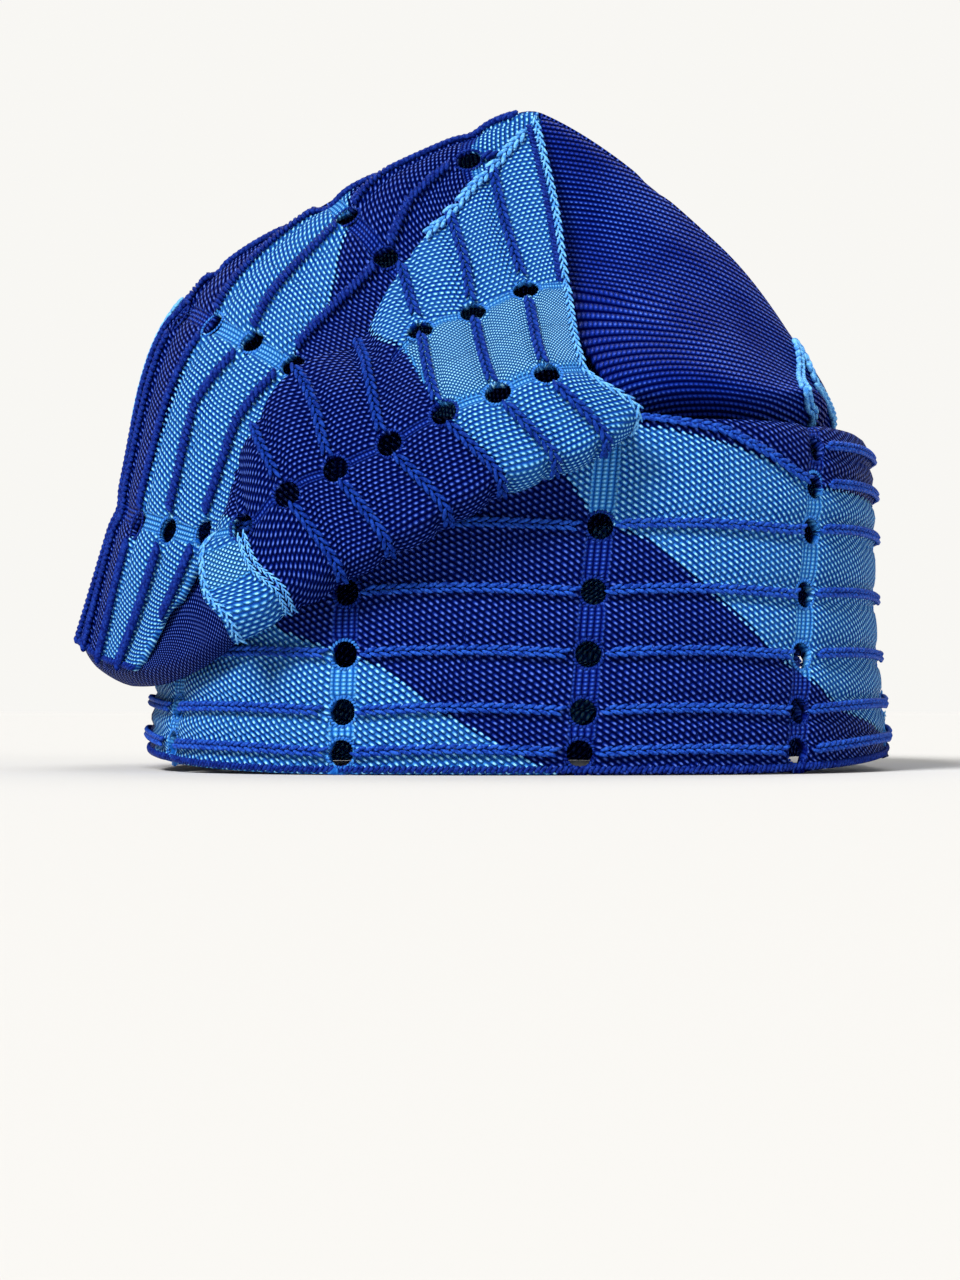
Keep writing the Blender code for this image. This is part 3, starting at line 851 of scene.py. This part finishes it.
    def round_off(self, obj: bpy.types.Object, points: np.ndarray, normals: np.ndarray) -> None:
        """Moves the cut edge of each eyelet onto a circle, in place."""
        mesh = obj.data
        uses = np.zeros(len(mesh.edges), int)
        loop_edges = np.empty(len(mesh.loops), int)
        mesh.loops.foreach_get("edge_index", loop_edges)
        np.add.at(uses, loop_edges, 1)
        ends = np.empty(len(mesh.edges) * 2, int)
        mesh.edges.foreach_get("vertices", ends)
        border = np.unique(ends.reshape(-1, 2)[uses == 1])
        for eyelet in self.eyelets():
            away = points[border] - eyelet
            near = border[np.linalg.norm(away, axis=1) < EYELET_RADIUS + 2.0]
            if not len(near):
                continue
            away = points[near] - eyelet
            out = normals[near]
            height = (away * out).sum(1, keepdims=True)
            flat = away - out * height
            points[near] = eyelet + unit(flat) * EYELET_RADIUS + out * height

    def build(self) -> bpy.types.Object:
        """Makes, dresses and registers the panel.

        Returns:
            The finished panel.
        """
        obj = self.flat_cloth()
        flat = place_of(obj)
        a, b = self.adjust(flat[:, 0], flat[:, 1])
        if len(self.eyelet_places()):
            self.cut(obj, self.surface(a, b))
            flat = place_of(obj)
            a, b = self.adjust(flat[:, 0], flat[:, 1])
        normals = self.outward(a, b)
        points = self.surface(a, b)
        if len(self.eyelet_places()):
            self.round_off(obj, points, normals)
        points = points + normals * self.lift(a, b)[:, None]
        obj.data.vertices.foreach_set("co", ((points + PANEL_SHIFT) * MM).ravel())
        self.mark(obj, a, b)
        if self.closed:
            edit_whole(obj, bpy.ops.mesh.remove_doubles, threshold=0.00002)
        if self.facing < 0:
            edit_whole(obj, bpy.ops.mesh.flip_normals)
        wall = obj.modifiers.new("wall", "SOLIDIFY")
        wall.thickness = self.wall * MM
        wall.offset = -1
        apply_modifiers(obj)
        bpy.ops.object.shade_smooth()
        obj.data.materials.clear()
        obj.data.materials.append(self.finish.material())
        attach(obj, "root")
        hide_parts(*self.nodes)
        LOG.info("%s: %d faces", self.name, len(obj.data.polygons))
        return obj

    def mark(self, obj: bpy.types.Object, a: np.ndarray, b: np.ndarray) -> None:
        """Stores the cloth's distances, stripes and bridges on the mesh, for its material."""
        mesh = obj.data
        corner = np.empty(len(mesh.loops), int)
        mesh.loops.foreach_get("vertex_index", corner)
        uv = mesh.uv_layers.active or mesh.uv_layers.new(name="cloth")
        uv.name = "cloth"
        uv.data.foreach_set("uv", self.cloth(a, b)[corner].ravel())
        marks = {
            "light": self.light(a, b),
            "bridge": self.gaps(a, b)[1],
            "bridge_run": self.bridge_run(a, b),
            "smooth": self.smooth(a, b),
        }
        for name, values in marks.items():
            mesh.attributes.new(name, "FLOAT", "POINT").data.foreach_set("value", values.astype(np.float32))


@dataclass
class Band(ClothPanel):
    """The pierced band round the head."""

    name: str = "band_weave"
    nodes: tuple[str, ...] = ("band",)
    shape: Callable = band_points
    closed: bool = True
    stripes: tuple = BAND_STRIPES
    stripe_scale: Pair = (1, 1)
    first: Pair = (-OUTLINE_LENGTH / 2, 0.0)
    last: Pair = (OUTLINE_LENGTH / 2, BAND_LEVELS[-1].run)
    counts: tuple[int, int] = (482, 66)
    wall: float = 2.2
    finish: object = BAND_CLOTH
    slot: str = "band_cloth"
    arch: float = 0.8
    lip_rib: tuple = ((24.0, 72.5), (31.0, 71.6), (42.6, 70.0), (54.5, 65.6), (62.0, 62.0), (68.1, 60.2))

    def surface(self, a, b):
        """Points of the band's outer face, going on round it."""
        half = OUTLINE_LENGTH / 2
        return self.shape((a + half) % OUTLINE_LENGTH - half, b)

    def cloth(self, a, b):
        """The threads run round the band and up it."""
        return np.stack([a, b], 1)

    def rib_heights(self, length: np.ndarray) -> np.ndarray:
        """The height of each rib at lengths round the band."""
        heights = [np.full(len(length), h) for h in RIM_EYELET_HEIGHTS]
        knots = np.array(self.lip_rib)
        front = (length > HIDDEN_START) & (length < LIP_END)
        heights[5] = np.where(front, np.interp(length, knots[:, 0], knots[:, 1]), heights[5])
        heights[6] = np.where(front, 90.0, heights[6])
        knots = np.array([c.length for c in COLUMNS])
        half = OUTLINE_LENGTH / 2
        wrapped = (length - knots[0] + half * 2) % (half * 2) + knots[0]
        share = np.interp(wrapped, np.append(knots, knots[0] + half * 2), np.arange(len(knots) + 1)) % 1.0
        arch = self.arch * np.sin(share * math.pi)
        return np.stack(heights, 1) + arch[:, None]

    def gaps(self, a, b):
        """Distances to the ribs round the band and to the columns of eyelets."""
        half = OUTLINE_LENGTH / 2
        rows = [(a - c.length - c.lean * b + half) % OUTLINE_LENGTH - half for c in COLUMNS]
        return nearest(b - self.rib_heights(a).T), nearest(rows)

    def eyelet_places(self):
        """Seven rows in leaning columns."""
        spots = [(c.length + c.lean * h, h) for h in RIM_EYELET_HEIGHTS for c in COLUMNS]
        return np.array([s for s in spots if abs(s[0]) > COVERED_LENGTH or s[1] < COVERED_HEIGHT])


@dataclass
class FrontFold(ClothPanel):
    """The striped fold that hangs over the band's front."""

    name: str = "front_fold_weave"
    nodes: tuple[str, ...] = ("front_fold",)
    shape: Callable = fold_points
    stripes: tuple = FOLD_STRIPES
    stripe_scale: Pair = (RIB_PITCH, FOLD_LENGTH)
    first: Pair = (0.0, 0.0)
    last: Pair = (7.8, 1.35)
    counts: tuple[int, int] = (96, 104)
    finish: object = FOLD_CLOTH
    slot: str = "fold_cloth"
    dip_half: float = 1.8
    row_ribs: tuple = (0, 6, FOLD_LAST_RIB, 7.8)
    row_places: tuple = (FOLD_EYELET, FOLD_EYELET, FOLD_LAST_EYELET, 0.3)
    crease_end: float = 3.6
    down: Measured = field(
        default_factory=lambda: Measured(fold_points, (0.0, 0.0), (7.8, 1.35), 1),
        repr=False,
    )

    def cloth(self, a, b):
        """The threads run down the fold and across its ribs."""
        return np.stack([self.down.at(a, b) - self.down.at(a, FOLD_EYELET), a * RIB_PITCH], 1)

    def gaps(self, a, b):
        """Distances to the ribs down the fold and to the two rows of eyelets."""
        whole = np.clip(np.round(a), 1, FOLD_LAST_RIB)
        rib = (a - whole) * RIB_PITCH
        lower = np.interp(a, self.row_ribs, self.row_places)
        here = self.down.at(a, b)
        row = here - self.down.at(a, lower)
        upper = np.where(a < self.crease_end, here - self.down.at(a, FOLD_CREASE), 99.0)
        return rib, nearest([row, upper])

    def smooth(self, a, b):
        """The shelf between the crease and the lower row is finer."""
        shelf = np.clip((b - FOLD_CREASE) / 0.02, 0, 1) * np.clip((FOLD_EYELET - b) / 0.03, 0, 1)
        return shelf * np.clip(self.light(a, b) + 0.5, 0, 1)

    def declare(self, obj: bpy.types.Object, ribs: list[bpy.types.Object]) -> None:
        """Measures the fold across its ribs and down its length, and keeps neither measure.

        Args:
            obj: the finished fold; not used.
            ribs: the cords sewn on it; not used.
        """
        across = Measured(fold_points, self.first, self.last, 0)
        length = float(self.down.at([3.0], [self.last[1]])[0]) * MM

    def eyelet_places(self):
        """The lower row, and three on the crease."""
        lower = [(rib, FOLD_EYELET) for rib in range(1, FOLD_LAST_RIB)]
        upper = [(rib, FOLD_CREASE) for rib in range(1, 4)]
        return np.array(lower + upper + [(FOLD_LAST_RIB, FOLD_LAST_EYELET)], float)


@dataclass
class CrownFront(ClothPanel):
    """The striped front of the crown, down to the tip."""

    name: str = "crown_front_weave"
    nodes: tuple[str, ...] = ("crown_front",)
    facing: float = -1.0
    stripes: tuple = FRONT_STRIPES
    first: Pair = (FOLD_STATION + 0.1, 0.0)
    last: Pair = (LAST_STATION, 1.0)
    counts: tuple[int, int] = (150, 62)
    finish: object = CROWN_CLOTH
    slot: str = "crown_front_cloth"
    down: Measured = field(
        default_factory=lambda: Measured(crown_points, (11.5, 0.2), (29.0, 0.41), 0),
        repr=False,
    )

    def adjust(self, a, b):
        """Fits the cloth between the slanting lower edge and the ridge."""
        lower = front_lower_edge(a)
        return a, lower + b * (RIDGE_PLACE - SEAM_PLACE - lower)

    def cloth(self, a, b):
        """The threads run along the ribs and across them."""
        return np.stack([self.down.at(a, b), front_rib_number(a, b) * RIB_PITCH], 1)

    def gaps(self, a, b):
        """Distances to the four ribs and to the rows of eyelets."""
        number = front_rib_number(a, b)
        rib = (number - np.clip(np.round(number), 0, 3)) * RIB_PITCH
        here = self.down.at(a, b)
        return rib, nearest([here - self.down.at(station, b) for station in FRONT_ROW_STATIONS])

    def eyelet_places(self):
        """Four rows along the ribs."""
        return np.array(FRONT_EYELETS)


@dataclass
class CrownBack(ClothPanel):
    """The back of the crown."""

    name: str = "crown_back_weave"
    nodes: tuple[str, ...] = ("crown_back",)
    facing: float = -1.0
    stripes: tuple = BACK_STRIPES
    first: Pair = (FIRST_STATION, RIDGE_PLACE)
    last: Pair = (LAST_STATION, 1.0)
    counts: tuple[int, int] = (190, 120)
    finish: object = CROWN_CLOTH
    slot: str = "crown_back_cloth"

    def cloth(self, a, b):
        """The threads run along the ribs and across them."""
        return np.stack([a * STATION_LENGTH, b * PLACE_LENGTH], 1)

    def gaps(self, a, b):
        """Distances to the ribs and to the rows of eyelets."""
        ribs = [(b - place) * PLACE_LENGTH for place in BACK_PLACES]
        return nearest(ribs), nearest([(a - station) * STATION_LENGTH for station in BACK_STATIONS])

    def eyelet_places(self):
        """Three rows."""
        return np.array([(station, place) for place in BACK_PLACES for station in BACK_STATIONS])


@dataclass
class SidePanel(ClothPanel):
    """The plain left side of the crown."""

    name: str = "side_weave"
    nodes: tuple[str, ...] = ("side_panel",)
    shape: Callable = side_points
    facing: float = -1.0
    first: Pair = (FIRST_STATION, 0.0)
    last: Pair = (FOLD_STATION, RIDGE_PLACE - SEAM_PLACE)
    counts: tuple[int, int] = (110, 120)
    puff: float = 0.0
    ridge: float = 0.0
    groove: float = 0.0
    finish: object = SIDE_CLOTH
    slot: str = "side_cloth"
    fan_middle: float = 10.0
    fan_slope: float = 0.0875
    fan_curve: float = 0.0038
    fan_drop: float = 6.0
    roll_middle: float = 40.0
    roll_curve: float = 0.008
    roll_top: float = 102.0
    roll_depth: float = 24.0

    def cloth(self, a, b):
        """The weft fans out towards the left end, and lies along the roll near the lower edge."""
        x, _, z = self.surface(a, b).T
        beside = x - self.fan_middle
        high = z + self.fan_slope * beside + self.fan_curve * beside**2 - self.fan_drop
        low = z + self.roll_curve * (x - self.roll_middle) ** 2
        share = np.clip((self.roll_top - z) / self.roll_depth, 0, 1)
        return np.stack([x, high + (low - high) * share], 1)


@dataclass
class TipFold(ClothPanel):
    """The rolled end of the crown at the low tip."""

    name: str = "tip_weave"
    nodes: tuple[str, ...] = ("tip_fold",)
    shape: Callable = tip_points
    first: Pair = (0.0, 0.5)
    last: Pair = (11.0, 1.35)
    counts: tuple[int, int] = (150, 46)
    puff: float = 0.0
    ridge: float = 0.0
    groove: float = 0.0
    finish: object = TIP_CLOTH
    slot: str = "tip_cloth"
    order_length: float = 17.0
    roll_length: float = 48.0

    def cloth(self, a, b):
        """The threads run along the roll and round it."""
        return np.stack([a * self.order_length, b * self.roll_length], 1)


@dataclass
class Braid:
    """A cord or a line of stitches, made of slanting loops.

    The pitch is from loop to loop, the height is above the cloth, and the slant and the twist are in degrees.
    """

    name: str
    finish: CordYarn
    slot: str
    lay_kind: Lay = Lay.CHAIN
    pitch: float = 2.1
    width: float = 2.6
    height: float = 0.5
    slant: float = 17.0
    twist: float = 48.0
    loops: list = field(default_factory=list, repr=False)

    def lay(self, panel: ClothPanel, a, b, eyelets=(), beside: float = 0.0) -> None:
        """Lays loops along a line on a panel.

        Args:
            panel: the panel that the line lies on.
            a: first places of the line, close together, or one for all.
            b: second places of the line, or one for all.
            eyelets: middles of the eyelets that the cord stops at.
            beside: millimetres that the cord lies to one side of the line.
        """
        a, b = np.broadcast_arrays(np.asarray(a, float), np.asarray(b, float))
        points, normals = panel.point(a, b, self.height)
        if beside:
            points = points + unit(np.cross(normals, np.gradient(points, axis=0))) * beside
        runs = np.concatenate([[0.0], np.cumsum(np.linalg.norm(np.diff(points, axis=0), axis=1))])
        count = max(2, int(runs[-1] / self.pitch))
        at = (np.arange(count) + 0.5) * runs[-1] / count

        def read(values: np.ndarray, where: np.ndarray) -> np.ndarray:
            return np.stack([np.interp(where, runs, values[:, k]) for k in range(3)], 1)

        spots = read(points, at)
        ups = unit(read(normals, at))
        along = unit(read(points, at + 0.6) - read(points, at - 0.6))
        keep = np.ones(count, bool)
        for eyelet in eyelets:
            keep &= np.linalg.norm(spots - eyelet, axis=1) > EYELET_RADIUS + 1.0
        self.loops.append((spots[keep], along[keep], ups[keep]))

    def ring(self, panel: ClothPanel, place: np.ndarray, radius: float) -> None:
        """Lays loops round a place on a panel.

        Args:
            panel: the panel.
            place: the ring's middle, as a place.
            radius: the ring's radius, in millimetres.
        """
        points, normals = panel.point(place[:1], place[1:], self.height)
        middle, up = points[0], normals[0]
        first = unit(np.cross(up, (0.3, 0.5, 0.8))[None])[0]
        second = np.cross(up, first)
        count = int(2 * math.pi * radius / self.pitch)
        turn = np.arange(count)[:, None] * 2 * math.pi / count
        spots = middle + (first * np.cos(turn) + second * np.sin(turn)) * radius
        along = second * np.cos(turn) - first * np.sin(turn)
        self.loops.append((spots, along, np.repeat(up[None], count, 0)))

    def spindles(self) -> list[tuple]:
        """The loops of one stitch: side, step along and slant of each, with its half sizes."""
        if self.lay_kind is Lay.TWIST:
            sizes = np.array([self.pitch * 0.44, self.width * 0.28, self.width * 0.62])
            return [(0.0, 0.0, math.radians(self.twist), sizes)]
        sizes = np.array([self.width * 0.18, self.width * 0.22, self.pitch * 0.70])
        slant = math.radians(self.slant)
        return [(-1.0, -0.25, -slant, sizes), (1.0, 0.25, slant, sizes)]

    def build(self) -> bpy.types.Object:
        """Makes the loops from one spindle, copied to each place, and registers them.

        Returns:
            The finished braid.
        """
        deselect()
        bpy.ops.mesh.primitive_uv_sphere_add(segments=6, ring_count=4, radius=1.0)
        obj = bpy.context.object
        obj.name = self.name
        spindle = place_of(obj)
        faces = [tuple(face.vertices) for face in obj.data.polygons]
        spots = np.concatenate([loop[0] for loop in self.loops])
        along = np.concatenate([loop[1] for loop in self.loops])
        ups = np.concatenate([loop[2] for loop in self.loops])
        across = unit(np.cross(ups, along))
        points, corners = [], []
        for side, step, turn, sizes in self.spindles():
            axis = along * math.cos(turn) + across * math.sin(turn)
            flank = np.cross(axis, ups)
            middle = spots + across * (self.width * 0.21 * side) + along * (self.pitch * step)
            scaled = spindle * sizes
            block = (
                middle[:, None]
                + scaled[None, :, :1] * flank[:, None]
                + scaled[None, :, 1:2] * ups[:, None]
                + scaled[None, :, 2:] * axis[:, None]
            )
            points.append(block.reshape(-1, 3))
        points = (np.concatenate(points) + PANEL_SHIFT) * MM
        size = len(spindle)
        for k in range(len(points) // size):
            corners.extend(tuple(i + k * size for i in face) for face in faces)
        mesh = bpy.data.meshes.new(self.name)
        mesh.from_pydata(points.tolist(), [], corners)
        obj.data = mesh
        edit_whole(obj, bpy.ops.mesh.normals_make_consistent, inside=False)
        bpy.ops.object.shade_smooth()
        mesh.materials.append(self.finish.material())
        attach(obj, "root")
        LOG.info("%s: %d faces", self.name, len(mesh.polygons))
        return obj


@dataclass
class Cords:
    """The braided ribs and the stitched edges of every panel."""

    band: Band
    fold: FrontFold
    front: CrownFront
    back: CrownBack
    side: SidePanel
    left_end_chains: tuple = (
        ((4.0, 0.324), (3.6, 0.28), (3.2, 0.225), (2.8, 0.14), (2.4, 0.075), (1.6, 0.045), (0.8, 0.055)),
        ((4.0, 0.340), (3.6, 0.32), (3.2, 0.288), (2.8, 0.268), (2.4, 0.252), (1.6, 0.27), (0.8, 0.33)),
    )

    def build(self) -> list[bpy.types.Object]:
        """Lays every cord.

        Returns:
            The finished cords.
        """
        return [
            self.band_ribs(),
            self.fold_ribs(),
            self.fold_light_ribs(),
            self.front_ribs(),
            self.back_ribs(),
            self.light_edges(),
            self.left_chains(),
            self.top_chain(),
            self.ridge_chain(),
            self.dark_edges(),
            self.eyelet_rims("light_rims", RIM_THREAD, True),
            self.eyelet_rims("dark_rims", NAVY_CORD, False),
        ]

    def band_ribs(self) -> bpy.types.Object:
        """The ribs round the band, from eyelet to eyelet."""
        braid = Braid("band_ribs", ROYAL_CORD, "band_cloth")
        holes = self.band.eyelets()
        half = OUTLINE_LENGTH / 2
        length = np.arange(-half, half, 0.5)
        heights = self.band.rib_heights(length)
        left, right = length < HIDDEN_START, length > LIP_END
        lip = (length > LIP_START) & (length < LIP_END)
        broken = {5: (left, lip, right), 6: (left, right)}
        for k in range(heights.shape[1]):
            for part in broken.get(k, (np.full(len(length), True),)):
                braid.lay(self.band, length[part], heights[part, k], holes)
        return braid.build()

    def fold_ribs(self) -> bpy.types.Object:
        """The royal blue ribs down the fold."""
        braid = Braid("fold_ribs", DEEP_CORD, "fold_cloth", pitch=2.3, width=2.7, height=0.4)
        holes = self.fold.eyelets()
        for rib in range(1, FOLD_LAST_RIB):
            braid.lay(self.fold, rib, np.linspace(0.0, 1.08, 240), holes)
        return braid.build()

    def fold_light_ribs(self) -> bpy.types.Object:
        """The light double chain at the fold's left end."""
        braid = Braid("fold_light_ribs", SKY_CORD, "fold_cloth", width=1.2, pitch=1.7, height=0.2)
        place = np.linspace(FOLD_LAST_EYELET + 0.06, 1.10, 200)
        for shift in (-0.7, 0.7):
            braid.lay(self.fold, FOLD_LAST_RIB, place, beside=shift)
        return braid.build()

    def front_ribs(self) -> bpy.types.Object:
        """The twisted dark ribs down the crown's front, with the ridge's edge."""
        braid = Braid("crown_front_ribs", NAVY_CORD, "crown_front_cloth", Lay.TWIST, 1.3, 2.9, 0.4)
        holes = self.front.eyelets()
        station = np.linspace(FOLD_STATION + 0.6, LAST_STATION, 400)
        lower = front_lower_edge(station)
        for rib in FRONT_RIBS:
            place = np.interp(station, FRONT_RIB_STATIONS, rib)
            inside = (place > lower + 0.004) & (place < RIDGE_PLACE - 0.006)
            if inside.any():
                braid.lay(self.front, station[inside], place[inside], holes)
        braid.lay(self.front, station, RIDGE_PLACE - 3 * SEAM_PLACE)
        return braid.build()

    def back_ribs(self) -> bpy.types.Object:
        """The ribs along the crown's back."""
        braid = Braid("crown_back_ribs", ROYAL_CORD, "crown_back_cloth")
        holes = self.back.eyelets()
        station = np.linspace(FIRST_STATION, LAST_STATION, 500)
        for place in BACK_PLACES:
            braid.lay(self.back, station, place, holes)
        return braid.build()

    def light_edges(self) -> bpy.types.Object:
        """The light stitches along the fold's two selvages and up the band's seam."""
        braid = Braid("light_stitches", SKY_CORD, "fold_cloth", pitch=2.5, width=1.6, height=0.3, slant=18.0)
        braid.lay(self.fold, FOLD_SELVAGE, np.linspace(0.0, 1.12, 300))
        braid.lay(self.fold, FOLD_END, np.linspace(0.3, 1.12, 200))
        braid.lay(self.band, BAND_SEAM, np.linspace(1.0, BAND_HEIGHT, 200))
        return braid.build()

    def left_chains(self) -> bpy.types.Object:
        """The two light chains that part from each other down the crown's left end."""
        braid = Braid("left_chains", SKY_CORD, "side_cloth", width=3.4, pitch=2.2, height=0.4, slant=10.0)
        for chain in self.left_end_chains:
            knots = np.array(chain)
            at = np.linspace(0, len(knots) - 1, 120)
            station, place = smooth_curve(np.arange(len(knots)), knots, at).T
            braid.lay(self.side, station, place)
        return braid.build()

    def top_chain(self) -> bpy.types.Object:
        """The thick light chain along the fold's top edge."""
        braid = Braid("fold_top_chain", SKY_CORD, "fold_cloth", pitch=2.2, width=2.8, height=0.9, slant=20.0)
        braid.lay(self.fold, np.linspace(0.3, 2.5, 200), 0.012)
        return braid.build()

    def ridge_chain(self) -> bpy.types.Object:
        """The light chain outside the ridge, down the crown's low end."""
        braid = Braid("ridge_chain", SKY_CORD, "crown_back_cloth", pitch=2.4, width=2.6, height=0.7)
        braid.lay(self.back, np.linspace(20.9, 24.6, 120), RIDGE_PLACE)
        return braid.build()

    def dark_edges(self) -> bpy.types.Object:
        """The twisted dark edges of the crown's low end, the fold's selvage and the band's rim."""
        braid = Braid("dark_edges", NAVY_CORD, "crown_front_cloth", Lay.TWIST, 1.1, 1.7, 0.1)
        braid.lay(self.front, LAST_STATION - 0.06, np.linspace(0.215, 0.396, 200))
        braid.lay(self.fold, FOLD_EDGE, np.linspace(0.0, 0.44, 300))
        half = OUTLINE_LENGTH / 2
        braid.lay(self.band, np.arange(-half, half, 0.6), 0.9)
        return braid.build()

    def eyelet_rims(self, name: str, finish: CordYarn, light: bool) -> bpy.types.Object:
        """The thread wound round every eyelet that lies in light cloth, or in dark cloth.

        Args:
            name: the piece's name.
            finish: the yarn.
            light: whether these are the eyelets in light cloth.

        Returns:
            The finished rims.
        """
        braid = Braid(name, finish, "band_cloth", Lay.TWIST, 0.75, 0.8, -0.15)
        for panel in (self.band, self.fold, self.front, self.back):
            places = panel.eyelet_places()
            chosen = (panel.light(*places.T) > 0) == light
            for place in places[chosen]:
                braid.ring(panel, place, EYELET_RADIUS + 0.3)
        return braid.build()


Lamp = namedtuple("Lamp", "name place power spread")


@dataclass
class Studio:
    """A pale floor, soft lights and the camera.

    A lamp's place is where it stands, seen from the cap, and its spread is how wide it looks, in degrees.
    """

    pale: Triple = (0.94, 0.93, 0.90)
    floor_tone: Triple = (0.68, 0.67, 0.65)
    ambient: float = 0.36
    lamps: tuple[Lamp, ...] = (
        Lamp("key", (-0.45, -0.75, 0.75), 4.1, 18.0),
        Lamp("fill", (0.8, -0.6, 0.3), 0.6, 40.0),
        Lamp("back", (0.2, 0.6, 0.8), 0.75, 40.0),
    )
    camera_place: Triple = (0.00009, -0.79985, 0.014)
    camera_tilt: float = 91.08
    lens: float = 97.28

    def build(self) -> None:
        """Sets up the stage."""
        deselect()
        bpy.ops.mesh.primitive_plane_add(size=8.0, location=(0.0, 2.0, -0.0003))
        floor = bpy.context.object
        floor.name = "floor"
        bpy.ops.object.transform_apply(location=True, rotation=False, scale=False)
        w = Wiring("pale_floor")
        w.shader.inputs["Base Color"].default_value = (*self.floor_tone, 1.0)
        w.shader.inputs["Roughness"].default_value = 0.9
        w.shader.inputs["Specular IOR Level"].default_value = 0.1
        floor.data.materials.append(w.material)
        world = bpy.context.scene.world or bpy.data.worlds.new("studio")
        bpy.context.scene.world = world
        world.use_nodes = True
        tree = world.node_tree
        seen = tree.nodes["Background"]
        seen.inputs["Color"].default_value = (*self.pale, 1.0)
        seen.inputs["Strength"].default_value = 1.0
        soft = tree.nodes.new("ShaderNodeBackground")
        soft.inputs["Color"].default_value = (*self.pale, 1.0)
        soft.inputs["Strength"].default_value = self.ambient
        path = tree.nodes.new("ShaderNodeLightPath")
        mix = tree.nodes.new("ShaderNodeMixShader")
        tree.links.new(path.outputs["Is Camera Ray"], mix.inputs[0])
        tree.links.new(soft.outputs[0], mix.inputs[1])
        tree.links.new(seen.outputs[0], mix.inputs[2])
        tree.links.new(mix.outputs[0], tree.nodes["World Output"].inputs["Surface"])
        for lamp in self.lamps:
            self.light(lamp)
        bpy.context.scene.view_settings.view_transform = "Standard"
        tilt = math.radians(self.camera_tilt)
        bpy.ops.object.camera_add(location=self.camera_place, rotation=(tilt, 0.0, 0.0))
        camera = bpy.context.object
        camera.name = "camera"
        camera.data.lens = self.lens
        camera.data.sensor_width = 36.0
        camera.data.clip_start = 0.005
        bpy.context.scene.camera = camera

    def light(self, lamp: Lamp) -> None:
        """Adds a soft, even light."""
        x, y, z = lamp.place
        bpy.ops.object.light_add(type="SUN", location=lamp.place)
        sun = bpy.context.object
        sun.name = lamp.name
        sun.data.energy = lamp.power
        sun.data.angle = math.radians(lamp.spread)
        sun.rotation_euler = (math.atan2(math.hypot(x, y), z), 0.0, math.atan2(-y, -x) - math.pi / 2)


def main() -> None:
    """Builds the cap and its stage."""
    logging.basicConfig(level=logging.INFO, format="%(message)s")
    panels = [kind() for kind in (Band, FrontFold, CrownFront, CrownBack, SidePanel, TipFold)]
    cloths = {panel.name: panel.build() for panel in panels}
    cords = {cord.name: cord for cord in Cords(*panels[:5]).build()}
    fold = panels[1]
    fold.declare(cloths[fold.name], [cords["fold_ribs"], cords["fold_light_ribs"]])
    Studio().build()


if __name__ == "__main__":
    main()
